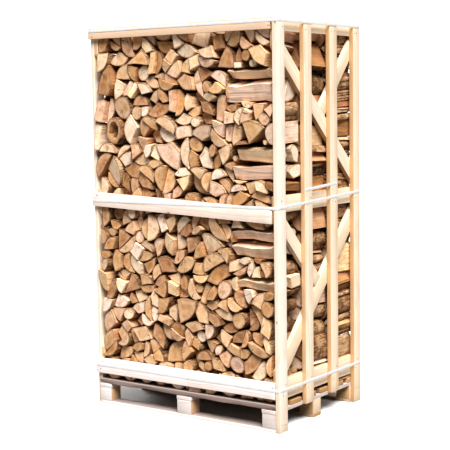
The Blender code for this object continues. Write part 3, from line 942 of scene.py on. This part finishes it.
        # slides the logs near the side walls outwards until they meet something
        order = sorted(range(len(self.logs)), key=lambda k: -abs(self.middles[k][0]))
        for number in order:
            if abs(self.middles[number][0]) < packing["pushZone"]:
                return
            if self.logs[number]["kind"] == "laid":
                continue
            for _ in range(packing["pushSteps"]):
                middle = self.logs[number]["middle"]
                sway = self.chance.gauss(0, packing["pushSway"])
                step = np.array((math.copysign(packing["pushStep"], middle[0]), sway))
                self.place(number, middle=middle + step)

    def tryStick(self, size, x, height, gap=packing["gap"]):
        chance, rule = self.chance, packing["sticks"]
        kind = chance.choice(("round", "wedge", "half", "quad"))
        points, rinds = logForm(kind, chance)
        stick = dict(kind=kind, points=points, rinds=rinds, size=size, turn=chance.uniform(0, math.tau),
                     middle=np.array((x, height)), most=rule["most"], end=None, hollow=False, stretched=1.0,
                     rings=rule["rings"])
        shape = placed(stick)
        fits = self.inside(shape) and self.free(-1, stick["middle"], shape, gap)
        if fits:
            self.add(stick)
        return fits

    def fillHoles(self):
        # thin sticks where there is room for them
        chance, rule = self.chance, packing["sticks"]
        inner = self.tight - rule["inset"]
        for _ in range(rule["tries"]):
            size, x = chance.uniform(*rule["size"]), chance.uniform(-inner, inner)
            self.tryStick(size, x, chance.uniform(self.floor, self.ceiling))

    def reachAt(self, side, height):
        # how far the logs at this height reach sideways
        ahead = np.roll(self.shapes, -1, axis=1)
        rise, drop = self.shapes[..., 1] - height, ahead[..., 1] - height
        crossing = rise * drop < 0
        share = rise[crossing] / (rise[crossing] - drop[crossing])
        found = self.shapes[crossing][:, 0] * (1 - share) + ahead[crossing][:, 0] * share
        return (found * side).max(initial=0.0)

    def fillNotches(self, sides):
        # thinner sticks wherever light would show between the logs along a side wall
        chance, rule = self.chance, packing["notches"]
        large, small = rule["sizes"]
        for height, side in itertools.product(np.arange(self.floor, self.ceiling, rule["step"]), sides):
            held = any(sign == side and bottom < height < top for sign, bottom, top in self.blocks)
            limit = self.tight if held else self.wall
            if self.reachAt(side, height) > self.wall - rule["depth"]:
                continue
            for number in range(rule["tries"]):
                size = small + (large - small) * (1 - number / rule["tries"]) ** 1.5
                x = side * (limit - size * chance.uniform(*rule["inset"]))
                if self.tryStick(size, x, height + chance.gauss(0, 0.4 * size), rule["gap"]):
                    break


def packRow(name, seed, cells, openSides=(), hollow=None, laid=()):
    rule = packing
    row = Row(name, seed)
    for box in [row.layAcross(*heights) for heights in laid]:
        cells = [(besides(cell, box), end) for cell, end in cells]
        kept = [(cell, end) for cell, end in cells if len(cell) > 2 and areaOf(cell) > rule["smallest"]]
        cells = [(plainCorners(cell), end) for cell, end in kept]
    roomy = [k for k, (cell, _) in enumerate(cells) if areaOf(cell) > rule["roomy"]]
    rotten = hollow and min(roomy, key=lambda k: np.linalg.norm(cells[k][0].mean(axis=0) - hollow))
    for number, (cell, end) in enumerate(cells):
        hollow = number == rotten
        log = fittedLog(cell, row.chance, ["round"] if hollow else None)
        size = log["size"] * 0.97
        radius = math.sqrt(areaOf(log["points"]) / math.pi)
        most = min(size * rule["most"], max(rule["largest"] / radius, size))
        if hollow:
            most = rule["largest"] * 0.95
        elif log["kind"] == "round" and size < 0.03:
            most = size * 1.1
        log.update(size=size, most=most, hollow=hollow, end=end, stretched=1.0)
        row.add(log)
    row.settle(rule["rounds"])
    row.pushOut()
    row.fillHoles()
    row.settle(rule["rounds"] // 2)
    row.fillNotches(openSides)
    filled = sum(areaOf(shape) for shape in row.shapes) / (2 * row.wall * (row.ceiling - row.floor))
    print("row packed:", len(row.logs), "logs fill", round(filled, 3))
    return row


def sawnEnd(log, outward, face, rails, chance):
    # how far back an end lies; those at the sides of the crate are nearly flush with its rails
    look = logLook
    outline = placed(log)
    heights = outline[:, 1]
    gap = look["railGap"]
    clear = all(heights.max() < low.z - gap or heights.min() > high.z + gap for low, high in rails)
    if log["end"] is None:
        depth = chance.uniform(*look["stickDepth"])
        if outward < 0:
            atSide = np.abs(outline[:, 0]).max() > look["sideReach"]
            return face - outward * (min(depth, 0.04) if atSide else depth)
    else:
        much = look["deep"] if chance.random() < look["deepShare"] else look["shallow"]
        depth = abs(log["end"] - face) * much
    share, least, most = look["proud"]
    if np.abs(outline[:, 0]).max() > look["sideReach"]:
        depth = depth * 0.3 - (look["flush"] if clear else 0.0)
    elif clear and chance.random() < share:
        depth = -chance.uniform(least, most)
    return face - outward * max(depth, -look["flush"] if clear else 0.001)


def ringOf(outline, y, tilt, centre):
    slope = (outline - centre) @ np.array(tilt)
    return np.stack([outline[:, 0], y + slope, outline[:, 1]], axis=1)


def pulledIn(outline, distances):
    # moves each point inwards, at right angles to the outline
    tangent = np.roll(outline, -1, axis=0) - np.roll(outline, 1, axis=0)
    tangent /= np.maximum(np.linalg.norm(tangent, axis=1), 1e-9)[:, None]
    return outline + np.stack([-tangent[:, 1], tangent[:, 0]], axis=1) * np.asarray(distances)[:, None]


def roughened(outline, centre, rinds, seed):
    # bark bulges, split faces are a little ragged
    out = outline - centre
    reach = np.linalg.norm(out, axis=1)
    ways = out / reach[:, None]
    bumps = []
    for spot, way, rind in zip(outline, ways, rinds):
        *waves, dip = logLook["bulges" if rind else "ragged"]
        x, z = way if rind else spot
        heights = [much * noise.noise(Vector((x * fine, z * fine, seed))) for fine, much in waves]
        bumps.append(sum(heights) - dip)
    return outline + ways * (np.array(bumps) * reach)[:, None]


def sideLimit(outline, row):
    # the slats for a log that already lies between the braces, the braces for the others
    return row.wall if np.abs(outline[:, 0]).max() > row.tight else row.tight


def bent(outline, row):
    # a slow warp that neighbours share, so that they still touch; it fades out at the walls
    look = logLook
    limit = sideLimit(outline, row)
    spots = []
    for x, z in outline:
        push = noise.noise_vector(Vector((x, z, row.shift)) * look["warpScale"])
        room = min(limit - abs(x), z - row.floor, row.ceiling - z)
        much = look["warp"] * min(1.0, max(0.0, room / 0.04))
        spots.append((x + push[0] * much, z + push[1] * much))
    return np.array(spots)


def leanOf(outline, centre, row, chance):
    # how far the hidden end lies from straight behind the sawn end
    look = logLook
    flow = noise.noise_vector(Vector((*centre, row.shift)) * look["driftScale"])
    shift = [flow[k] * look["drift"] + chance.uniform(-1, 1) * look["lean"] for k in (0, 1)]
    low, high = outline.min(axis=0), outline.max(axis=0)
    side, rise = sideLimit(outline, row), look["drift"]
    if row.slumps:
        apart = math.dist(centre, (look["slump"]["x"], look["slump"]["z"])) / look["slump"]["size"]
        shift[1] -= look["slump"]["drop"] * math.exp(-apart * apart)
        rise = look["slump"]["drop"]
    if side > row.tight:
        braced = any(bottom < high[1] and top > low[1] - rise for _, bottom, top in row.blocks)
        rise = look["sideRise"] if braced or not row.slumps else rise
    across = min(side - high[0], max(-side - low[0], shift[0]))
    return np.array((across, min(rise, row.ceiling - high[1], max(-rise, row.floor - low[1], shift[1]))))


def flareOf(outline, row):
    # behind the last slat, logs that a brace holds off the slats have thicker ends, which fill the corner
    look, much = logLook, []
    for x, z in outline:
        held = any(x * sign > 0 and bottom < z < top for sign, bottom, top in row.cornerBlocks)
        share = min(1.0, max(0.0, (abs(x) - row.tight) / look["flareReach"] + 1.0))
        much.append(0.0 if held else math.copysign(share, x))
    return np.array(much) * look["flare"]


def addLog(store, log, row, chance):
    look = logLook
    around, inward = look["around"], row.inward
    rinds = log["rinds"]
    touched = rinds | np.roll(rinds, 1)
    outline = placed(log)
    limit = sideLimit(outline, row)
    outline = bent(outline, row)
    centre = outline.mean(axis=0)
    seed = chance.uniform(0, 500)
    outline = roughened(outline, centre, touched, seed)
    outline[:, 0] = np.clip(outline[:, 0], -limit, limit)
    end = log["end"]
    length = min(chance.uniform(*look["length"]), abs(row.stop - end) - 0.003)
    front = [chance.gauss(0, look["sawTilt"]) for _ in range(2)]
    back = [chance.gauss(0, look["sawTilt"] * (3 if "sway" in log else 0.5)) for _ in range(2)]
    drift = leanOf(outline, centre, row, chance) if row.leans else np.zeros(2)
    taper = log.get("taper", chance.uniform(0.0, 0.06))
    thick = chance.uniform(*look["bark"])
    edge = look["chamfer"]
    rim = pulledIn(outline, np.full(around, edge))
    wood = pulledIn(rim, np.where(touched, thick, 0.001))
    flare = flareOf(outline, row) if limit == row.tight else np.zeros(around)
    wood[:, 0] += flare
    rim[:, 0] += flare
    layers = [ringOf(wood, end, front, centre), ringOf(rim, end, front, centre)]
    hole = look["rotten"] if log["hollow"] else []
    lumps = np.array([[1 + 0.4 * noise.noise(Vector((x * 45, z * 45, seed)))] for x, z in wood - centre])
    for share, depth, _ in reversed(hole):
        inside = centre + (wood - centre) * share * (1 if depth == 0 else lumps)
        layers.insert(0, ringOf(inside, end + inward * depth, front, centre))
    inner = [depth for depth in log.get("rings", look["rings"]) if depth < length - 0.02]
    for depth in (edge, *inner, length - edge):
        t = depth / length
        side = centre + (outline - centre) * (1 - taper * t) + drift * t
        if edge < depth < length - edge:
            wobble = [noise.noise(Vector((x * 40, z * 40, depth * 20 + seed))) for x, z in outline]
            side = pulledIn(side, np.where(touched, *look["sideBumps"]) * np.array(wobble))
            if "sway" in log:
                aside = noise.noise_vector(Vector((depth * 9.0, seed, 0.0)))
                side = centre + (side - centre) * (1 - 4 * log["sway"] * abs(aside[2]))
                side += log["sway"] * np.array(aside[:2])
        tilt = [f + (b - f) * t for f, b in zip(front, back)]
        side[:, 0] += flare * max(0.0, 1 - depth / look["flareLength"])
        layers.append(ringOf(side, end + inward * depth, tilt, centre))
    layers.append(ringOf(pulledIn(side, np.full(around, edge)), end + inward * length, back, centre))
    bottom = inward * (hole[0][1] if hole else 0.0)
    (x, z), (leanX, leanZ) = centre, drift
    hubs = [[x, end + bottom, z], [x + leanX, end + inward * length, z + leanZ]]
    start = len(store["points"])
    points = np.concatenate([*layers, hubs])
    store["points"].extend(points)
    hub = start + len(layers) * around
    for k in range(around):
        after = (k + 1) % around
        side = 2 if rinds[k] else 1
        store["faces"].append((hub, start + k, start + after))
        store["finish"].append(2 if hole else 0)
        for number in range(len(layers) - 1):
            here, onward = start + number * around, start + (number + 1) * around
            store["faces"].append((here + k, onward + k, onward + after, here + after))
            finish = hole[number][2] if number < len(hole) else side
            store["finish"].append(0 if number == len(hole) and side == 1 else finish)
        store["faces"].append((onward + k, hub + 1, onward + after))
        store["finish"].append(0)
    own = log.get("tone") or logTone(chance)
    pith = log["middle"]
    store["grain"].extend((y + own[2] * 31, x - pith[0], z - pith[1]) for x, y, z in points)
    store["tone"].extend([own] * len(points))
    rimward = [share for share, _, _ in hole] + [1.0] * (len(layers) - len(hole))
    store["rimward"].extend([share for share in rimward for _ in range(around)] + [0.0, 0.0])


def logTone(chance):
    # lightness, warmth and a number of its own
    light = min(1.0, max(0.0, chance.gauss(*logLook["light"])))
    pick = chance.random()
    if pick < 0.13:
        light = chance.uniform(0.88, 1.0)
    elif pick > 0.86:
        light = chance.uniform(0.10, 0.33)
    return light, chance.random(), chance.random()


def addLaidLog(store, box, near, far, chance):
    # made like the others along Y, with its front at +X, then turned to lie across the row
    (left, bottom), (right, top) = box
    points, rinds = logForm(chance.choice(("half", "quad", "block")), chance)
    points = points @ spins(np.array(chance.gauss(0.5, 0.05) * math.pi)).T      # a split side faces the front
    points -= points.min(axis=0)
    points *= (far - near, top - bottom) / points.max(axis=0)
    log = dict(points=points, rinds=rinds, size=1.0, turn=0.0, middle=np.array((-far, bottom)), end=right,
               hollow=False, sway=laidLogs["sway"], taper=chance.uniform(*laidLogs["taper"]))
    log["tone"] = (chance.uniform(*laidLogs["light"]), chance.random(), chance.random())
    room = SimpleNamespace(wall=-near, tight=0.0, floor=bottom, ceiling=top, shift=chance.random(),
                           leans=False, inward=-1, stop=left)
    start = len(store["points"])
    addLog(store, log, room, chance)
    store["points"][start:] = [(y, -x, z) for x, y, z in store["points"][start:]]


def joinedLogs(row, seed):
    # every log is a closed body of its own
    name = f"logs_{row.name}_row"
    chance = random.Random(seed)
    store = dict(points=[], faces=[], finish=[], grain=[], tone=[], rimward=[])
    for log in row.logs:
        if log["kind"] != "laid":
            addLog(store, log, row, chance)
            continue
        shape = placed(log)
        near, far = sorted((row.face, row.stop))
        middle = (near + far) / 2
        for ends in ((near + 0.001, middle - laidLogs["apart"]), (middle, far - laidLogs["apart"])):
            addLaidLog(store, (shape.min(axis=0), shape.max(axis=0)), *ends, chance)
    mesh = bpy.data.meshes.new(name)
    mesh.from_pydata([tuple(p) for p in store["points"]], [], store["faces"])
    mesh.polygons.foreach_set("material_index", store["finish"])
    for attribute, values in (("grain", store["grain"]), ("woodTone", store["tone"])):
        layer = mesh.attributes.new(attribute, "FLOAT_VECTOR", "POINT")
        layer.data.foreach_set("vector", np.array(values, np.float32).ravel())
    mesh.attributes.new("rimward", "FLOAT", "POINT").data.foreach_set("value", store["rimward"])
    bm = bmesh.new()
    bm.from_mesh(mesh)
    bmesh.ops.recalc_face_normals(bm, faces=bm.faces)
    bm.to_mesh(mesh)
    bm.free()
    mesh.shade_smooth()
    mesh.set_sharp_from_angle(angle=math.radians(38))
    for material in logMaterials:
        mesh.materials.append(material)
    addPiece(name, mesh, "log_wood", f"log_row_{row.name}")
    print(name, "has", len(row.logs), "logs and", sum(len(face) - 2 for face in store["faces"]), "triangles")


def buildRows():
    chance = random.Random(41)
    frontCells = endCells("log_row_front", -1)
    rows = dict(
        front=dict(cells=frontCells, openSides=(-1,), hollow=logLook["hollow"], laid=laidLogs["heights"]),
        middle=dict(cells=[(cell[::-1] * (-1, 1), None) for cell, _ in frontCells]),
        back=dict(cells=endCells("log_row_back", 1), openSides=(-1, 1)),
    )
    for number, (name, given) in enumerate(rows.items()):
        row = packRow(name, 51 + number, **given)
        places = () if name == "middle" else ("top", "middle", "bottom")
        rails = [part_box(f"rail_{name}_{place}") for place in places]
        for log in row.logs:
            if name == "middle":
                log["end"] = row.face + chance.uniform(*logLook["setBack"])
            elif log["kind"] != "laid":
                log["end"] = sawnEnd(log, -row.inward, row.face, rails, chance)
        joinedLogs(row, 61 + number)


buildRows()


# Straps: thin ribbons on the route of the CAD's straps

strapLook = dict(
    width=0.0155, thick=0.0006, corner=0.0030, lift=0.0002, step=0.03, ripple=0.0005,
    tailStretches=12, tailInset=0.008, tailRipple=0.0012,
    colour=(0.745, 0.735, 0.73), worn=(0.65, 0.63, 0.615),
)


def strapMaterial():
    material, finish = newMaterial("white strap", 0.38)
    where = source(material, "ShaderNodeUVMap", uv_map="strapRun")["UV"]
    cross = addNode("ShaderNodeTexVoronoi", {"Vector": where, "Scale": 520.0, "Randomness": 0.0})["Distance"]
    cloud = noiseOf(where, 40.0, 3.0)
    feed(finish["Base Color"], mixColour(between(cloud, 0.4, 0.75), strapLook["colour"], strapLook["worn"]))
    feed(finish["Roughness"], between(cloud, 0.3, 0.7, 0.32, 0.5))
    addBump(finish, cross, 0.0003, 0.6)
    return material


strapFinish = strapMaterial()


def addStrap(place, path, outwards, closed):
    # path: the ribbon's middle, with the outward direction at each point
    width, thick = strapLook["width"], strapLook["thick"]
    bm = bmesh.new()
    run = bm.loops.layers.uv.new("strapRun")
    section = [(-0.5, 0.0), (-0.5, 0.75), (-0.47, 1.0), (0.0, 1.0), (0.47, 1.0), (0.5, 0.75), (0.5, 0.0)]
    rows, travelled, spent = [], [], 0.0
    for k, (spot, out) in enumerate(zip(path, outwards)):
        spent += (spot - path[k - 1]).length if k else 0.0
        travelled.append(spent)
        corners = [Vector((0, 0, 1)) * a * width + out * b * thick for a, b in section]
        rows.append([bm.verts.new(spot + corner) for corner in corners])
    for k in range(len(path) if closed else len(path) - 1):
        after = (k + 1) % len(path)
        far = travelled[after] if after else spent + (path[0] - path[-1]).length
        for s, (here, _) in enumerate(section):
            nextS = (s + 1) % len(section)
            there = section[nextS][0]
            face = bm.faces.new((rows[k][s], rows[after][s], rows[after][nextS], rows[k][nextS]))
            marks = ((travelled[k], here), (far, here), (far, there), (travelled[k], there))
            for loop, (u, v) in zip(face.loops, marks):
                loop[run].uv = (u, v * width)
    if not closed:
        bm.faces.new(rows[0])
        bm.faces.new(rows[-1])
    bmesh.ops.recalc_face_normals(bm, faces=bm.faces)
    for face in bm.faces:
        face.smooth = True
    mesh = meshOf(f"strap_band_{place}", bm, [strapFinish])
    mesh.set_sharp_from_angle(angle=math.radians(40))
    addPiece(mesh.name, mesh, "strap_plastic", f"strap_{place}")


def heightAt(node, cx, cy):
    # the strap's middle height at a corner of the crate, from the CAD strap
    heights = [v.co.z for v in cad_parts[node].data.vertices if v.co.x * cx > 0 and v.co.y * cy > 0]
    return (min(heights) + max(heights)) / 2


def strapRoute(node):
    look = strapLook
    _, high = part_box(node)
    half = Vector((high.x, high.y)) - Vector((1, 1)) * (look["thick"] + look["lift"])
    corners = [(1, -1), (1, 1), (-1, 1), (-1, -1)]
    path, outwards = [], []
    for number, (cx, cy) in enumerate(corners):
        inset = half - Vector((1, 1)) * look["corner"]
        centre = Vector((cx * inset.x, cy * inset.y, heightAt(node, cx, cy)))
        for step in range(4):
            angle = math.radians(-90 + 90 * number + 30 * step)
            out = Vector((math.cos(angle), math.sin(angle), 0))
            path.append(centre + out * look["corner"])
            outwards.append(out)
        nextX, nextY = corners[(number + 1) % 4]
        start = path[-1]
        goal = Vector((nextX * (half.x if cx == nextX else inset.x),
                       nextY * (half.y if cy == nextY else inset.y), heightAt(node, nextX, nextY)))
        count = round((goal - start).length / look["step"])
        for k in range(1, count):
            spot = start.lerp(goal, k / count)
            spot += out * look["ripple"] * noise.noise(spot * 7 + Vector((0, 0, 9)))
            spot.z += 2 * look["ripple"] * noise.noise(spot * 3)
            path.append(spot)
            outwards.append(out)
    return path, outwards


def addTail():
    # the loose end
    look = strapLook
    low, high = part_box("strap_tail")
    start = Vector((low.x, low.y, low.z + look["tailInset"]))
    end = Vector((low.x, high.y, high.z - look["tailInset"]))
    path = [start.lerp(end, k / look["tailStretches"]) for k in range(look["tailStretches"] + 1)]
    for spot in path:
        spot.z += look["tailRipple"] * noise.noise(spot * 9)
    addStrap("tail", path, [Vector((1, 0, 0))] * len(path), False)


for strapPlace in ("top", "middle", "bottom"):
    addStrap(strapPlace, *strapRoute(f"strap_{strapPlace}"), True)
addTail()
print("straps built")


# Nails, where the boards cross

nailLook = dict(
    width=0.0034, height=0.0011, seed=4, spread=0.24,
    colour=(0.34, 0.33, 0.32), rust=(0.20, 0.13, 0.09),
)


def nailMaterial():
    material, finish = newMaterial("nail steel", 0.45)
    dull = noiseOf(source(material, "ShaderNodeTexCoord")["Object"], 900.0, 3.0)
    feed(finish["Base Color"], mixColour(between(dull, 0.4, 0.7), nailLook["colour"], nailLook["rust"]))
    finish["Metallic"].default_value = 0.7
    feed(finish["Roughness"], between(dull, 0.3, 0.7, 0.35, 0.65))
    return material


def nailTree(material):
    inputs = {"Geometry": None, "Head Width": 0.003, "Head Height": 0.001, "Seed": 0}
    tree, given, result = newGroup("nail heads", "GeometryNodeTree", inputs, ["Geometry"])
    fed = {"Segments": 10, "Rings": 5, "Radius": given["Head Width"]}
    head = addNode("GeometryNodeMeshUVSphere", fed)["Mesh"]
    flat = combined(1.0, 1.0, given["Head Height"] / given["Head Width"])
    flatHead = addNode("GeometryNodeTransform", {"Geometry": head, "Scale": flat})[0]
    facing = addNode("GeometryNodeInputNamedAttribute", {"Name": "facing"}, tree, data_type="FLOAT_VECTOR")
    aim = addNode("FunctionNodeAlignRotationToVector", {"Vector": facing["Attribute"]}, axis="Z")[0]
    size = addNode("FunctionNodeRandomValue", {2: 0.85, 3: 1.15, "Seed": given["Seed"]}, data_type="FLOAT")[1]
    fed = {"Points": given["Geometry"], "Instance": flatHead, "Rotation": aim, "Scale": size}
    placed = addNode("GeometryNodeInstanceOnPoints", fed)[0]
    real = addNode("GeometryNodeRealizeInstances", {"Geometry": placed})[0]
    feed(result["Geometry"], addNode("GeometryNodeSetMaterial", {"Geometry": real, "Material": material})[0])
    return tree


def nailsBetween(first, second, axis, sign, chance):
    # (place, facing) of the two nails where two boards cross
    lowA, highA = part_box(first)
    lowB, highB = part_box(second)
    wide = [k for k in range(3) if k != axis]
    low = [max(lowA[k], lowB[k]) for k in wide]
    high = [min(highA[k], highB[k]) for k in wide]
    if low[0] >= high[0] or low[1] >= high[1]:
        return []
    facing = Vector([sign if k == axis else 0 for k in range(3)])
    nails = []
    for way in (-1, 1):
        spot = Vector((0, 0, 0))
        spot[axis] = highA[axis] if sign > 0 else lowA[axis]
        for k, a, b, turn in zip(wide, low, high, (way, way if chance.random() < 0.7 else -way)):
            spot[k] = (a + b) / 2 + turn * nailLook["spread"] * (b - a) * chance.uniform(0.7, 1.2)
        nails.append((spot, facing))
    return nails


def crossings():
    # (outer board, inner board, axis, which way the nail heads face)
    places = ("top", "middle", "bottom")
    for side, sign in (("left", -1), ("right", 1)):
        for number, place in itertools.product(range(1, 5), places):
            yield f"slat_{side}_{number}", f"rail_{side}_{place}", 0, sign
        for number, line in ((1, "front"), (4, "back")):
            yield f"slat_{side}_{number}", f"pallet_block_{line}_{side}", 0, sign
    for line, sign in (("front", -1), ("back", 1)):
        for place, side in itertools.product(places, ("left", "right")):
            yield f"rail_{line}_{place}", f"rail_{side}_{place}", 1, sign
    for number, column in itertools.product(range(1, 7), ("left", "middle", "right")):
        yield f"pallet_deck_{number}", f"pallet_stringer_{column}", 2, 1


def addNails():
    look = nailLook
    chance = random.Random(6)
    nails = [nail for crossing in crossings() for nail in nailsBetween(*crossing, chance)]
    mesh = bpy.data.meshes.new("nail_heads")
    mesh.from_pydata([tuple(spot) for spot, _ in nails], [], [])
    layer = mesh.attributes.new("facing", "FLOAT_VECTOR", "POINT")
    layer.data.foreach_set("vector", [value for _, facing in nails for value in facing])
    points = addObject("nail points", mesh)
    modifier = points.modifiers.new("nail heads", "NODES")
    modifier.node_group = tree = nailTree(nailMaterial())
    named = {item.name: item.identifier for item in tree.interface.items_tree if item.in_out == "INPUT"}
    given = {"Head Width": look["width"], "Head Height": look["height"], "Seed": look["seed"]}
    for label, value in given.items():
        modifier[named[label]] = value
    made = bpy.data.meshes.new_from_object(points.evaluated_get(bpy.context.evaluated_depsgraph_get()))
    bpy.data.objects.remove(points)
    made.shade_smooth()
    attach(addObject("nail_heads", made), "root")
    print("nails:", len(nails))


addNails()


# Floor, light and camera

studio = dict(
    floorSize=60.0, floorSeen=(0.90, 0.90, 0.90), floorBounce=(0.22, 0.22, 0.22),
    sky=0.17, backdrop=1.45,      # how strongly the white surroundings light the crate, and how they look
    exposure=-0.13,
    suns=[dict(aim=(-0.42, 0.44, -0.79), power=5.5, spread=36.0),      # the main light, and one from behind
          dict(aim=(0.80, -0.42, -0.30), power=1.7, spread=30.0)],
    place=(3.7228, -5.1857, 1.6216), heading=35.72, dip=5.81, roll=-0.85, lens=94.75, sensor=36.0,
)


def addFloor():
    look = studio
    bm = bmesh.new()
    bmesh.ops.create_grid(bm, x_segments=1, y_segments=1, size=look["floorSize"] / 2)
    material, finish = newMaterial("pale floor", 0.6)
    direct = source(material, "ShaderNodeLightPath")["Is Camera Ray"]
    feed(finish["Base Color"], mixColour(direct, look["floorBounce"], look["floorSeen"]))
    floor = addObject("floor", meshOf("floor", bm, [material]))


def addLights():
    look = studio
    world = bpy.data.worlds.new("studio")
    world.use_nodes = True
    seen = source(world, "ShaderNodeLightPath")["Is Camera Ray"]
    sky = world.node_tree.nodes["Background"].inputs
    sky["Color"].default_value = (1.0, 1.0, 1.0, 1.0)
    feed(sky["Strength"], seen * (look["backdrop"] - look["sky"]) + look["sky"])
    bpy.context.scene.world = world
    for sun in look["suns"]:
        data = bpy.data.lights.new("soft sun", "SUN")
        data.energy, data.angle = sun["power"], math.radians(sun["spread"])
        lamp = addObject("soft sun", data)
        lamp.rotation_euler = Vector(sun["aim"]).to_track_quat("-Z", "Y").to_euler()


def addCamera():
    look = studio
    data = bpy.data.cameras.new("camera")
    data.lens, data.sensor_width = look["lens"], look["sensor"]
    camera = addObject("camera", data)
    pose = Matrix.Translation(look["place"])
    for angle, axis in ((look["heading"], "Z"), (90 - look["dip"], "X"), (look["roll"], "Z")):
        pose = pose @ Matrix.Rotation(math.radians(angle), 4, axis)
    camera.matrix_world = pose
    bpy.context.scene.camera = camera
    view = bpy.context.scene.view_settings
    view.view_transform, view.look = "Standard", "High Contrast"
    view.exposure = look["exposure"]


addFloor()
addLights()
addCamera()
print("studio set")
